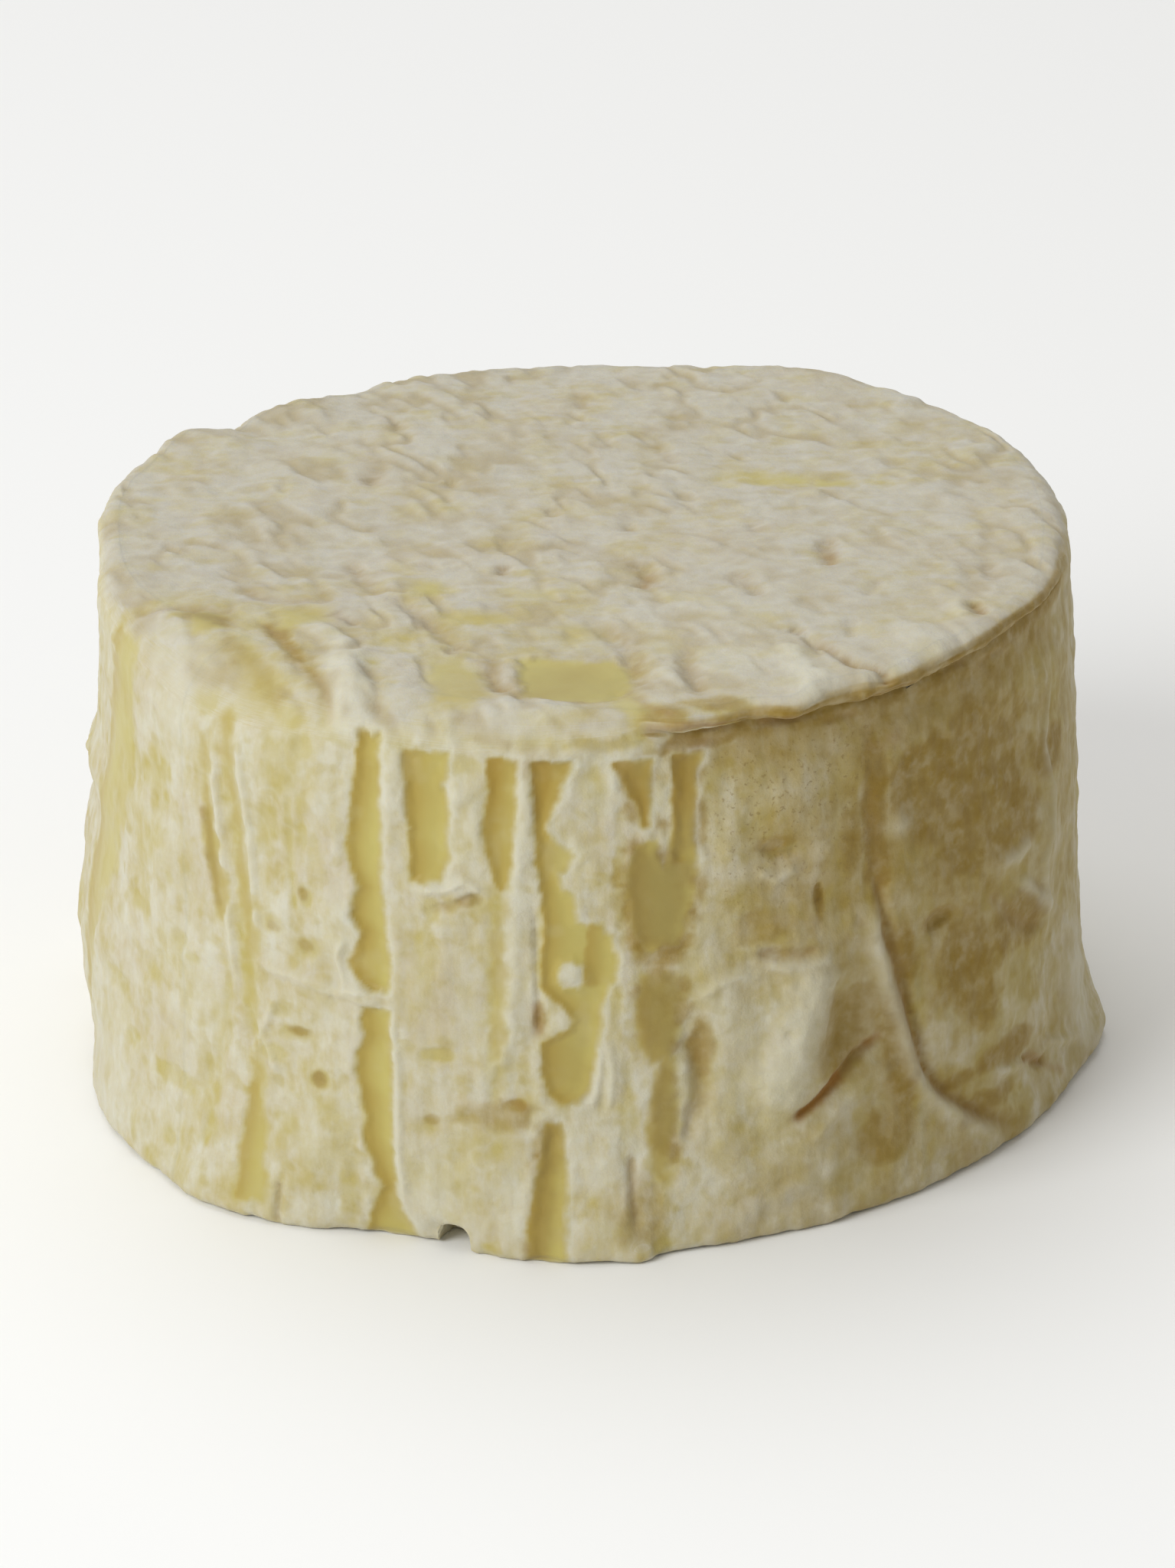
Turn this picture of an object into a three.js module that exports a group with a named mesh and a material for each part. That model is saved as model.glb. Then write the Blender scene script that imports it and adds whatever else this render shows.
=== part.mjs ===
// A whole three-milk soft cheese: a low drum of smooth yellow paste in a thin bloomy rind.
// The wrapper has pulled strips of the rind off the side, and the top rind stands out over the
// side as a lip at the right front.
// Millimetres, +Z up, resting flat on z = 0. Angles are degrees round the drum: 0 is the front
// (-Y), and they grow towards the right (+X).
import * as THREE from "three";

const HEIGHT = 51;
const FOOT_RADIUS = 46.8;
const TAPER = 1.3; // how much narrower the drum is at the top than at the foot
const FOOT_ROUND = 1.2; // radius of the lower edge
const FOOT_FLARE = 0.5; // the soft paste spreads a little where it rests
const FLARE_HEIGHT = 6;
const DRUM_AXIS = [-1.04, 0.753]; // where the axis stands, so that the box is centred on the origin

const RIND_COLOUR = 0xd3cab2;
const RIND_ROUGHNESS = 0.9;

// Swellings and hollows of the side: angle, height, half-width in degrees, half-height, out.
const SIDE_BULGES = [
  [-92, 50, 30, 15, -2.2],
  [-86, 31, 16, 2.6, 0.5],
  [-86, 27, 16, 2.2, -0.35],
  [-88, 15, 24, 7, 0.5],
  [-88, 3, 12, 6, -1.1],
  [-82, 34, 26, 11, -1],
  [-66, 0, 10, 8, 0.8],
  [-44, 0, 13, 9, 2.1],
  [-22, 0, 9, 7, -1.5],
  [0, 0, 9, 6, 1.9],
  [5.5, 0, 2.2, 1.6, 0.7],
  [60, 0, 14, 7, 0.2],
  [84, 1.5, 10, 3.4, 1.8],
  [84, 10, 14, 7, 0.3],
  [86, 30, 26, 10, 0.4],
  [26, 20, 5, 9, 0.9],
  [33, 20, 5, 8, -0.8],
  [12, 17, 2.2, 6, -0.6],
  [120, 12, 20, 10, 0.9],
  [150, 35, 22, 12, -0.9],
  [180, 10, 25, 9, 0.8],
  [-150, 22, 24, 12, 0.7],
  [-120, 8, 14, 8, 0.8],
  [-170, 38, 16, 9, -0.7],
];

// Lobes of the wavy rim: angle, half-width, out, up. They show in the side from one height on and
// are full at the next, and lift the top face from one radius on in the same way.
const LOBES_HEIGHTS = [30, 50];
const LOBES_RADII = [30, 44];
const RIM_LOBES = [
  [-110, 14, 1.5, 0],
  [-126, 5, 1.1, 0.6],
  [-131.5, 3.5, -1.6, -0.5],
  [-142, 7, -0.7, 0.3],
  [-151, 5, -1, -0.4],
  [-176, 16, 1, -0.5],
  [148, 9, 1.7, 0.6],
  [126, 16, 1.5, 0.1],
  [104, 12, 0.5, 0],
];

// The rounded edge between side and top: its radius, and where wear makes it broader (angle,
// half-width, more).
const SHOULDER = 1.8;
const SHOULDER_WEAR = [
  [-46, 24, 5.6],
  [-12, 14, 2.4],
  [95, 20, 0.6],
  [180, 30, 0.8],
];

// The lip: the angles over which it grows and fades, how far its edge stands out, how thick it
// is, and how deep and how far down the side is undercut below it.
const LIP_GROWS = [5, 12];
const LIP_FADES = [66, 82];
const LIP_OUT = 0.9;
const LIP_THICK = 1.7;
const LIP_UNDERCUT = 1.1;
const UNDERCUT_HEIGHT = 8;
const LIP_ROOT = 0.5; // how far in and down the root of the lip is tucked
const LIP_ROOM = 1.2; // height left free between the lip and the end of the side
// Section of the lip from below: distance behind its edge, and share of its thickness down.
const LIP_SECTION = [
  [0.5, 1],
  [0, 0.55],
  [0.3, 0.2],
  [1.2, 0],
];
// Scallops of the lip's edge: angle, half-width, out.
const LIP_SCALLOPS = [
  [24, 2.6, 1.3],
  [19, 2, -0.7],
  [37, 5, 0.8],
  [31.5, 1.2, -0.6],
  [57, 5, -0.5],
];

// Strips where the rind is gone. Each row is a height and the angles where the bare paste starts
// and ends there; the rows run downwards.
const TEARS = [
  {
    depth: 1,
    rows: [
      [48, -24.6, -22.1], [40, -25.3, -22], [37, -26, -21.7], [34, -24.8, -21.7],
      [31, -25.7, -21.7], [27.4, -26, -22], [24.8, -25, -22],
    ],
  },
  {
    depth: 0.9,
    rows: [
      [23.2, -24.2, -21.4], [17.4, -24.4, -21.4], [15.4, -25.2, -21.3], [10.3, -24, -21.2],
      [6, -22.6, -21.2], [4, -24, -20.6], [1, -25, -18.6],
    ],
  },
  {
    depth: 1.1,
    rows: [[46.9, -18.9, -14.2], [42, -18.8, -14.4], [36, -18.4, -15]],
  },
  {
    depth: 0.8,
    rows: [[47, -9.6, -6.8], [36, -9.8, -6.9]],
  },
  {
    depth: 1,
    rows: [
      [46.6, -4.7, -1.3], [43.6, -4.6, -2.4], [41, -4.4, -3], [38, -4.4, -1.8], [36.4, -4.7, -0.9],
      [31.4, -3.8, -0.4], [30, -4.3, 3.4], [26.5, -4.3, 3], [23.6, -3.6, 1.9], [20.4, -4.7, 1.2],
      [17, -4.6, 0.2], [15, -3.6, -0.8],
    ],
  },
  {
    depth: 1,
    rows: [[12.4, -4.4, -2], [8, -5.2, -1.7], [5, -6.3, -1.5], [0.4, -6.6, -1.2]],
  },
  {
    depth: 0.9,
    rows: [[46.4, 4, 7.6], [43, 6, 7.6], [41, 6.9, 7.5]],
  },
  {
    depth: 0.9,
    rows: [[46.4, 10.4, 13], [44, 10.2, 12.8], [40, 10.2, 12.3], [36, 9.6, 12.2]],
  },
  {
    depth: 0.8,
    rows: [[39, 6.6, 7.8], [36.6, 6, 10.6], [33, 5.4, 11.6], [30.2, 6, 10.6]],
  },
  {
    depth: 0.6,
    rows: [[26.2, 6.6, 10], [22, 5.8, 10.2], [20, 6.8, 8.4]],
  },
  {
    depth: 0.7,
    rows: [[17.6, 7.4, 10], [12, 7, 9.6], [6.6, 7.6, 9.2]],
  },
  {
    depth: 0.9,
    rows: [
      [48.6, -68, -62.6], [39, -69.8, -63], [28.5, -74.6, -66.4], [21.5, -74.6, -69],
      [14, -77, -74],
    ],
  },
  {
    depth: 0.4,
    rows: [[41, -57.4, -54.4], [38, -58, -52.6], [34, -57, -53.4]],
  },
  {
    depth: 0.5,
    rows: [[46.4, -47.2, -45.8], [40, -46.6, -45.2], [30, -45.4, -43.4], [27, -44.4, -43.4]],
  },
  {
    depth: 0.5,
    rows: [[47, -43.2, -41.7], [36, -41.4, -40.2], [25, -40, -38.6], [18.6, -38.6, -38]],
  },
  {
    depth: 0.9,
    rows: [[16.6, -39.6, -38.6], [9, -40.8, -38], [1, -42.4, -37.6]],
  },
  {
    depth: 0.9,
    rows: [[44, 96, 98.6], [34, 95.4, 98.8], [27, 96, 98]],
  },
  {
    depth: 0.9,
    rows: [[24, 117, 120], [12, 116, 120.6], [3, 117.4, 121.6]],
  },
  {
    depth: 1,
    rows: [[46, 134, 137.4], [38, 133.6, 138], [30, 134.6, 137.6], [21, 135.4, 137]],
  },
  {
    depth: 0.8,
    rows: [[43, 149, 150.8], [29, 148, 150.6], [16, 148.6, 150]],
  },
  {
    depth: 1,
    rows: [[31, 164, 168.4], [22, 163, 168], [10, 164, 167], [2, 163.4, 168.4]],
  },
  {
    depth: 0.9,
    rows: [[46.6, 176, 179], [40, 175.4, 179.2], [33, 176.6, 178.6]],
  },
  {
    depth: 1,
    rows: [[45, -168.4, -165], [33, -169, -165.4], [25, -168, -166]],
  },
  {
    depth: 0.8,
    rows: [[20, -159, -156.6], [11, -160, -156], [1, -161, -155.6]],
  },
  {
    depth: 0.9,
    rows: [[47, -142, -139.2], [36, -142.6, -138.8], [26, -141.4, -139.4], [18, -141, -139.6]],
  },
  {
    depth: 0.8,
    rows: [[39, -121, -117.6], [29, -121.6, -118], [20, -120.6, -118.4]],
  },
  {
    depth: 0.9,
    rows: [[14, -104, -101.4], [1, -105.4, -100.4]],
  },
];

// Long folds and cracks of the side: half-width, depth, and their course as angle and height.
const FOLDS = [
  {
    width: 0.9, depth: 0.9,
    path: [
      [34.4, 36], [34.6, 29.6], [37.6, 20.4], [39.6, 14], [42.4, 9.4], [47.6, 5.8], [54.6, 2],
    ],
  },
  { width: 0.8, depth: 1.1, path: [[23.4, 11.6], [28.6, 13.6], [34.4, 16]] },
  { width: 0.7, depth: 0.7, path: [[11.2, 20.4], [12, 15], [10.6, 10.6]] },
  { width: 1.1, depth: 0.7, path: [[41.4, 24.9], [45.6, 24.7]] },
  { width: 0.7, depth: 0.6, path: [[160, 36], [151, 31], [145, 22], [143, 12]] },
  { width: 0.7, depth: 0.6, path: [[-133, 33], [-128, 24], [-128, 13]] },
];
// Raised folds: half-width, height, and their course.
const RIDGES = [
  { width: 0.8, height: 0.45, path: [[-33, 24.4], [-22, 23.9]] },
  { width: 0.8, height: 0.5, path: [[36.4, 29], [39.6, 20.4], [41.6, 14], [44.4, 10], [50, 6.6]] },
  { width: 0.6, height: 0.4, path: [[-5.8, 47], [-5.8, 30], [-7.4, 16]] },
];

// The notch that is bitten out of the lower edge: angle, half-width in degrees, height, depth.
const NOTCH = { angle: -15, half: 1.9, height: 2.3, depth: 4.2 };
const NOTCH_ROOF = [-0.2, 0.5]; // millimetres under the arch over which it deepens
const NOTCH_SIDES = [1.25, 0.8]; // the same across, in half-widths from its middle

// The top face. Swellings and hollows: x, y, half-width in x and in y, up.
const TOP_BULGES = [
  [-8, 20, 26, 16, 0.5],
  [22, -14, 18, 14, 0.35],
  [0, -36, 12, 7, -0.5],
  [-30, -8, 14, 10, -0.35],
  [-17, 0, 9, 10, -0.3],
  [26, 18, 12, 9, -0.3],
];
// Cracks of the top face: half-width, depth, and their course as x and y.
const TOP_CRACKS = [
  { width: 1.1, depth: 1.1, path: [[-28.6, -19.6], [-25.4, -27], [-22.6, -36]] },
  { width: 0.7, depth: 0.7, path: [[19.6, -27.6], [23.4, -35], [28, -39.6]] },
  { width: 0.7, depth: 0.6, path: [[-19.4, -7], [-17, -14], [-10.4, -28]] },
];
// Places where the top rind is worn off: x, y, half-sizes, depth.
const TOP_PATCHES = [
  [0, -35.6, 6.4, 4.4, 0.5],
  [-9.4, -36, 3.4, 4, 0.4],
  [21, 9.6, 6.6, 2, 0.3],
  [-26, -32.6, 3.4, 3.6, 0.5],
];
const PATCH_EDGE = [1.15, 0.85]; // share of its size over which a worn place deepens

const WALL = 0.35; // half the run over which the wall of a tear drops
const WALL_STEP = 0.45; // a column of points stands this many degrees on each side of a wall
const LEAST_STEP = 0.7;
const MOST_STEP = 3.4;
const FOLD_STEP = 1.7; // most between columns where slanting folds cross them
const FOLDS_FROM = 22;
const FOLDS_TO = 58;
// Columns of points across the notch, in half-widths from its middle.
const NOTCH_COLUMNS = [-1.3, -0.8, -0.4, 0, 0.4, 0.8, 1.3];
const FOOT_ROWS = 3;
const SIDE_ROWS = 18;
const SHOULDER_ROWS = LIP_SECTION.length + 1;
// Rings of the top face: share of the rim's radius, and of how many columns one is kept.
const TOP_RINGS = [
  [0.95, 1],
  [0.87, 1],
  [0.77, 2],
  [0.65, 2],
  [0.52, 2],
  [0.38, 4],
  [0.2, 4],
];

const radians = (degrees) => (degrees * Math.PI) / 180;
const turn = (degrees) => ((((degrees + 180) % 360) + 360) % 360) - 180;
const bell = (distance, width) => Math.exp(-((distance / width) ** 2));
const mix = (a, b, share) => a + (b - a) * share;

function smooth(from, to, value) {
  const t = Math.min(1, Math.max(0, (value - from) / (to - from)));
  return t * t * (3 - 2 * t);
}

function sumOver(rows, term) {
  return rows.reduce((sum, row) => sum + term(...row), 0);
}

// Shortest distance from a point to a course of straight stretches.
function distanceTo(path, x, y) {
  let nearest = Infinity;
  for (let i = 1; i < path.length; i += 1) {
    const [ax, ay] = path[i - 1];
    const dx = path[i][0] - ax;
    const dy = path[i][1] - ay;
    const along = ((x - ax) * dx + (y - ay) * dy) / (dx * dx + dy * dy);
    const t = Math.min(1, Math.max(0, along));
    nearest = Math.min(nearest, Math.hypot(x - ax - t * dx, y - ay - t * dy));
  }
  return nearest;
}

const ARC = radians(1) * FOOT_RADIUS; // length of one degree round the side

function sideDistance(path, angle, z) {
  const [start] = path[0];
  const flat = path.map(([a, h]) => [(a - start) * ARC, h]);
  return distanceTo(flat, turn(angle - start) * ARC, z);
}

// How far inside a tear a point of the side lies, in millimetres; negative outside.
function insideTear(rows, angle, z) {
  const top = rows[0][0];
  const bottom = rows[rows.length - 1][0];
  const height = Math.min(top, Math.max(bottom, z));
  const i = Math.max(1, rows.findIndex((row) => row[0] <= height));
  const share = (rows[i - 1][0] - height) / (rows[i - 1][0] - rows[i][0]);
  const from = mix(rows[i - 1][1], rows[i][1], share);
  const to = mix(rows[i - 1][2], rows[i][2], share);
  const across = (to - from) / 2 - Math.abs(turn(angle - (from + to) / 2));
  return Math.min(across * ARC, top - z, z - bottom);
}

function notchDepth(angle, z) {
  const across = Math.abs(turn(angle - NOTCH.angle)) / NOTCH.half;
  const roof = NOTCH.height * Math.sqrt(Math.max(0, 1 - across * across));
  return NOTCH.depth * smooth(...NOTCH_ROOF, roof - z) * smooth(...NOTCH_SIDES, across);
}

// The side's relief: tears and folds cut in, ridges stand out.
function sideRelief(angle, z) {
  let cut = notchDepth(angle, z);
  for (const { depth, rows } of TEARS) {
    cut = Math.max(cut, depth * smooth(-WALL, WALL, insideTear(rows, angle, z)));
  }
  for (const { width, depth, path } of FOLDS) {
    cut = Math.max(cut, depth * bell(sideDistance(path, angle, z), width));
  }
  let raised = 0;
  for (const { width, height, path } of RIDGES) {
    raised = Math.max(raised, height * bell(sideDistance(path, angle, z), width));
  }
  return raised - cut;
}

// The drum without its relief.
function drumRadius(angle, z) {
  const bulges = sumOver(
    SIDE_BULGES,
    (at, height, half, halfHeight, out) =>
      out * bell(turn(angle - at), half) * bell(z - height, halfHeight),
  );
  const lobes = sumOver(RIM_LOBES, (at, half, out) => out * bell(turn(angle - at), half));
  const cone = FOOT_RADIUS - (TAPER * z) / HEIGHT + FOOT_FLARE * bell(z, FLARE_HEIGHT);
  return cone + bulges + lobes * smooth(...LOBES_HEIGHTS, z);
}

const shoulderRadius = (angle) =>
  SHOULDER + sumOver(SHOULDER_WEAR, (at, half, more) => more * bell(turn(angle - at), half));

const lipShare = (angle) => smooth(...LIP_GROWS, angle) * (1 - smooth(...LIP_FADES, angle));

const lipOut = (angle) =>
  LIP_OUT + sumOver(LIP_SCALLOPS, (at, half, out) => out * bell(turn(angle - at), half));

// Height of the top face at a point.
function topHeight(x, y) {
  const angle = (Math.atan2(x, -y) * 180) / Math.PI;
  const rimward = smooth(...LOBES_RADII, Math.hypot(x, y));
  const rise = sumOver(RIM_LOBES, (at, half, out, up) => up * bell(turn(angle - at), half));
  let z = HEIGHT + rise * rimward;
  z += sumOver(TOP_BULGES, (bx, by, wx, wy, up) => up * bell(x - bx, wx) * bell(y - by, wy));
  for (const { width, depth, path } of TOP_CRACKS) {
    z -= depth * bell(distanceTo(path, x, y), width);
  }
  for (const [px, py, wx, wy, depth] of TOP_PATCHES) {
    z -= depth * smooth(...PATCH_EDGE, Math.hypot((x - px) / wx, (y - py) / wy));
  }
  return z;
}

const onDrum = (angle, radius) => [
  radius * Math.sin(radians(angle)),
  -radius * Math.cos(radians(angle)),
];

// The outline of a cut through the axis at one angle, as radius and height, from the foot to
// the edge of the top face.
function profile(angle) {
  const rows = [];
  for (let i = 0; i <= FOOT_ROWS; i += 1) {
    const a = (Math.PI / 2) * (i / FOOT_ROWS);
    const z = FOOT_ROUND * (1 - Math.cos(a));
    const inwards = FOOT_ROUND * (1 - Math.sin(a));
    rows.push([drumRadius(angle, z) - inwards + sideRelief(angle, z), z]);
  }
  const round = shoulderRadius(angle);
  const lip = lipShare(angle);
  const rim = drumRadius(angle, HEIGHT);
  const top = topHeight(...onDrum(angle, rim - round));
  const sideEnd = top - mix(round, LIP_THICK + LIP_ROOM, lip);
  for (let i = 1; i <= SIDE_ROWS; i += 1) {
    const z = mix(FOOT_ROUND, sideEnd, i / SIDE_ROWS);
    const undercut = LIP_UNDERCUT * lip * smooth(UNDERCUT_HEIGHT, 1, sideEnd - z);
    rows.push([drumRadius(angle, z) + sideRelief(angle, z) - undercut, z]);
  }
  const lipEdge = rim + lipOut(angle);
  const overhang = [
    [rim - LIP_UNDERCUT - LIP_ROOT, top - LIP_THICK - LIP_ROOT],
    ...LIP_SECTION.map(([behind, down]) => [lipEdge - behind, top - LIP_THICK * down]),
  ];
  for (let i = 1; i <= SHOULDER_ROWS; i += 1) {
    const a = (Math.PI / 2) * (i / SHOULDER_ROWS);
    const worn = [rim - round * (1 - Math.cos(a)), top - round * (1 - Math.sin(a))];
    const [outR, outZ] = overhang[i - 1];
    rows.push([mix(worn[0], outR, lip), mix(worn[1], outZ, lip)]);
  }
  return rows;
}

const mean = (values) => values.reduce((sum, value) => sum + value, 0) / values.length;

// The angles of the columns of points: close beside the walls of the tears, wider between them.
// Their number is a multiple of four, so that the rings of the top face can be thinned.
function columnAngles() {
  const walls = TEARS.flatMap(({ rows }) => {
    const from = mean(rows.map((row) => row[1]));
    const to = mean(rows.map((row) => row[2]));
    return [from - WALL_STEP, from + WALL_STEP, to - WALL_STEP, to + WALL_STEP];
  });
  const notch = NOTCH_COLUMNS.map((share) => NOTCH.angle + share * NOTCH.half);
  const wanted = [...walls, ...notch, 180].sort((a, b) => a - b);
  const angles = [-180];
  for (const next of wanted) {
    const last = angles[angles.length - 1];
    const step = next > FOLDS_FROM && last < FOLDS_TO ? FOLD_STEP : MOST_STEP;
    const count = next - last < LEAST_STEP ? 0 : Math.ceil((next - last) / step);
    for (let i = 1; i <= count; i += 1) {
      angles.push(mix(last, next, i / count));
    }
  }
  angles.pop();
  while (angles.length % 4) {
    const last = angles[angles.length - 1];
    angles.push((last + 180) / 2);
  }
  return angles;
}

// Joins two rings of points, the second with as many points as the first or half as many.
function joinRings(faces, outer, inner) {
  const thinned = outer.length / inner.length;
  for (let i = 0; i < inner.length; i += 1) {
    const a = outer[i * thinned];
    const b = outer[i * thinned + thinned - 1];
    const c = outer[(i * thinned + thinned) % outer.length];
    const d = inner[i];
    const e = inner[(i + 1) % inner.length];
    if (thinned === 2) {
      faces.push(a, b, d);
    }
    faces.push(b, c, e);
    faces.push(b, e, d);
  }
}

// Joins the cuts at all angles into one closed skin, with a point in the middle of each face.
function drumGeometry() {
  const points = [];
  const addPoint = (x, y, z) => {
    points.push(x + DRUM_AXIS[0], y + DRUM_AXIS[1], z);
    return points.length / 3 - 1;
  };
  const angles = columnAngles();
  const cuts = angles.map(profile);
  const rings = cuts[0].map((_, row) =>
    cuts.map((cut, i) => addPoint(...onDrum(angles[i], cut[row][0]), cut[row][1])),
  );
  for (const [share, keep] of TOP_RINGS) {
    const kept = angles.map((_, i) => i).filter((i) => i % keep === 0);
    rings.push(
      kept.map((i) => {
        const spot = onDrum(angles[i], share * cuts[i][cuts[i].length - 1][0]);
        return addPoint(...spot, topHeight(...spot));
      }),
    );
  }
  const faces = [];
  for (let row = 1; row < rings.length; row += 1) {
    joinRings(faces, rings[row - 1], rings[row]);
  }
  const caps = [
    [addPoint(0, 0, 0), rings[0].slice().reverse()],
    [addPoint(0, 0, topHeight(0, 0)), rings[rings.length - 1]],
  ];
  for (const [centre, ring] of caps) {
    ring.forEach((point, i) => faces.push(point, ring[(i + 1) % ring.length], centre));
  }
  const geometry = new THREE.BufferGeometry();
  geometry.setAttribute("position", new THREE.Float32BufferAttribute(points, 3));
  geometry.setIndex(faces);
  geometry.computeVertexNormals();
  return geometry;
}

const rind = new THREE.MeshStandardMaterial({
  color: RIND_COLOUR,
  roughness: RIND_ROUGHNESS,
  metalness: 0,
});
const cheese = new THREE.Mesh(drumGeometry(), rind);
cheese.name = "cheese";

const group = new THREE.Group();
group.add(cheese);
export default group;
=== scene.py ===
# %% [markdown]
# A three-milk soft cheese, dressed in Blender
# A whole small cheese: a low drum of smooth yellow paste in a thin bloomy rind. White mould
# grows as velvet on the rind, and the wrapper pulled strips of it off the side.
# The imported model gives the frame, so every piece below is made straight in its place.

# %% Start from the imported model
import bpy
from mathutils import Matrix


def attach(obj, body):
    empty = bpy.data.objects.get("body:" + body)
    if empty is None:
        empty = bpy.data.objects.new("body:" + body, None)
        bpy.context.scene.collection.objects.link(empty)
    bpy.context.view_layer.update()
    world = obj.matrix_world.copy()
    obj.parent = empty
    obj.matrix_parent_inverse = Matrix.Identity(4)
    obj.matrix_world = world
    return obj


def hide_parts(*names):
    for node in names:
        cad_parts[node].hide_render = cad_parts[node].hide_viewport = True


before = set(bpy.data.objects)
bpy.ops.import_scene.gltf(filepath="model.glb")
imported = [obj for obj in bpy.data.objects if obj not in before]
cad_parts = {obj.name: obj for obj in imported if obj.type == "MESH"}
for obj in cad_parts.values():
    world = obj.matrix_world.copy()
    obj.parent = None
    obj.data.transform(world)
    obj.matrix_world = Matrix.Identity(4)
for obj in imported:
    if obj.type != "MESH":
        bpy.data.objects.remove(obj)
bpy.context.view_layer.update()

# %% The tools of the bench
import math
import random
import bmesh
import bpy
import numpy as np
from mathutils import Matrix, Vector

MM = 0.001

# %% [markdown]
# One unit for the whole lesson
# A maker measures a cheese in millimetres and in degrees round the drum, and Blender works in
# metres. So all lists are in millimetres and degrees, and they are turned to metres only when
# a mesh is made. Angle 0 is the front of the drum (-Y), and angles grow towards the right (+X).

# %% Small sums that every step needs
AXIS = (-1.04, 0.753)  # where the drum's own axis stands, in millimetres


def bell(distance, width):
    """1 at no distance, and softly down to nearly 0 at two widths."""
    return np.exp(-((distance / width) ** 2))


def turned(degrees):
    """An angle brought between -180 and 180 degrees."""
    return (degrees + 180.0) % 360.0 - 180.0


def smooth(start, end, value):
    """0 at start and before it, 1 at end and past it, and a soft step between the two."""
    t = np.clip((value - start) / (end - start), 0.0, 1.0)
    return t * t * (3.0 - 2.0 * t)


def band(value, start, full, fade, end):
    """1 from full to fade, and softly down to 0 at start and at end."""
    return smooth(start, full, value) * (1 - smooth(fade, end, value))


def mix(a, b, share):
    return a + (b - a) * share


print("the drum's axis stands at", AXIS, "mm")

# %% [markdown]
# Chance that comes out the same each time
# Nothing on a cheese is ruled: an edge wanders by a tenth of a millimetre here and there. Random
# numbers would do it, but they would change with each run. Lattice noise is better. It takes
# the corners of a grid, gives each a fixed chance value, and blends between them, so one place
# always gets one value, and neighbours stay alike.

# %% Lattice noise
STIRRERS = (374761393, 668265263, 2147483647, 144665)  # odd numbers that share no pattern
LAST_STIRRER = 1274126177
KEPT_BITS = 0xFFFFFF


def chance(ix, iy, iz, seed):
    """A fixed chance value between -1 and 1 for each corner of the grid."""
    mixed = sum(number * stirrer for number, stirrer in zip((ix, iy, iz, seed), STIRRERS))
    mixed = (mixed ^ (mixed >> 13)) * LAST_STIRRER
    mixed = (mixed ^ (mixed >> 16)) & KEPT_BITS
    return mixed / (KEPT_BITS // 2) - 1.0


def lattice_noise(points, size, seed):
    """Smooth chance values at points; size is the width of its lumps in the points' unit."""
    at = np.asarray(points, float) / size
    low = np.floor(at).astype(np.int64)
    part = at - low
    part = part * part * (3.0 - 2.0 * part)
    total = np.zeros(len(at))
    for corner in range(8):
        step = np.array([corner & 1, corner >> 1 & 1, corner >> 2])
        weight = np.prod(np.where(step, part, 1.0 - part), axis=1)
        total += weight * chance(*(low + step).T, seed)
    return total


def layered_noise(points, size, seed):
    """Three layers of noise, each half as wide and half as strong as the last."""
    return sum(
        share * lattice_noise(points, size * share, seed + i)
        for i, share in enumerate((1.0, 0.5, 0.25))
    )


# %% [markdown]
# The drum
# The cheese was poured into a round mould, drained and turned, and then it sagged a little in
# its paper. A plain lathe turn would be too even. So the drum is a rule instead: a radius for
# every angle and height, with swellings and hollows added on top of a slightly tapered wall.
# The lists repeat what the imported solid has, so the dressed cheese fills the same room.

# %% The drum's sizes, in millimetres and degrees
HEIGHT = 51.0
FOOT_RADIUS = 46.8
TAPER = 1.3
FOOT_ROUND = 1.2
FOOT_FLARE = 0.5
FLARE_HEIGHT = 6.0
ARC = math.radians(1) * FOOT_RADIUS  # one degree round the side

# Angle, height, half-width in degrees, half-height, how far out.
SIDE_BULGES = [
    (-92, 50, 30, 15, -2.2), (-86, 31, 16, 2.6, 0.5), (-86, 27, 16, 2.2, -0.35),
    (-88, 15, 24, 7, 0.5), (-88, 3, 12, 6, -1.1), (-82, 34, 26, 11, -1), (-66, 0, 10, 8, 0.8),
    (-44, 0, 13, 9, 2.1), (-22, 0, 9, 7, -1.5), (0, 0, 9, 6, 1.9), (5.5, 0, 2.2, 1.6, 0.7),
    (60, 0, 14, 7, 0.2), (84, 1.5, 10, 3.4, 1.8), (84, 10, 14, 7, 0.3), (86, 30, 26, 10, 0.4),
    (26, 20, 5, 9, 0.9), (33, 20, 5, 8, -0.8), (12, 17, 2.2, 6, -0.6), (120, 12, 20, 10, 0.9),
    (150, 35, 22, 12, -0.9), (180, 10, 25, 9, 0.8), (-150, 22, 24, 12, 0.7),
    (-120, 8, 14, 8, 0.8), (-170, 38, 16, 9, -0.7),
]
# The wavy rim: angle, half-width, out, up. The waves grow over these heights and radii.
LOBES_HEIGHTS = (30, 50)
LOBES_RADII = (30, 44)
RIM_LOBES = [
    (-110, 14, 1.5, 0), (-126, 5, 1.1, 0.6), (-131.5, 3.5, -1.6, -0.5), (-142, 7, -0.7, 0.3),
    (-151, 5, -1, -0.4), (-176, 16, 1, -0.5), (148, 9, 1.7, 0.6), (126, 16, 1.5, 0.1),
    (104, 12, 0.5, 0),
]
# The edge between side and top: its radius, and where wear makes it broader.
SHOULDER = 1.8
SHOULDER_WEAR = [(-46, 24, 5.6), (-12, 14, 2.4), (95, 20, 0.6), (180, 30, 0.8)]
# Swellings of the top face: x, y, half-width in x and in y, up.
TOP_BULGES = [
    (-8, 20, 26, 16, 0.5), (22, -14, 18, 14, 0.35), (0, -36, 12, 7, -0.5),
    (-30, -8, 14, 10, -0.35), (-17, 0, 9, 10, -0.3), (26, 18, 12, 9, -0.3),
]

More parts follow.
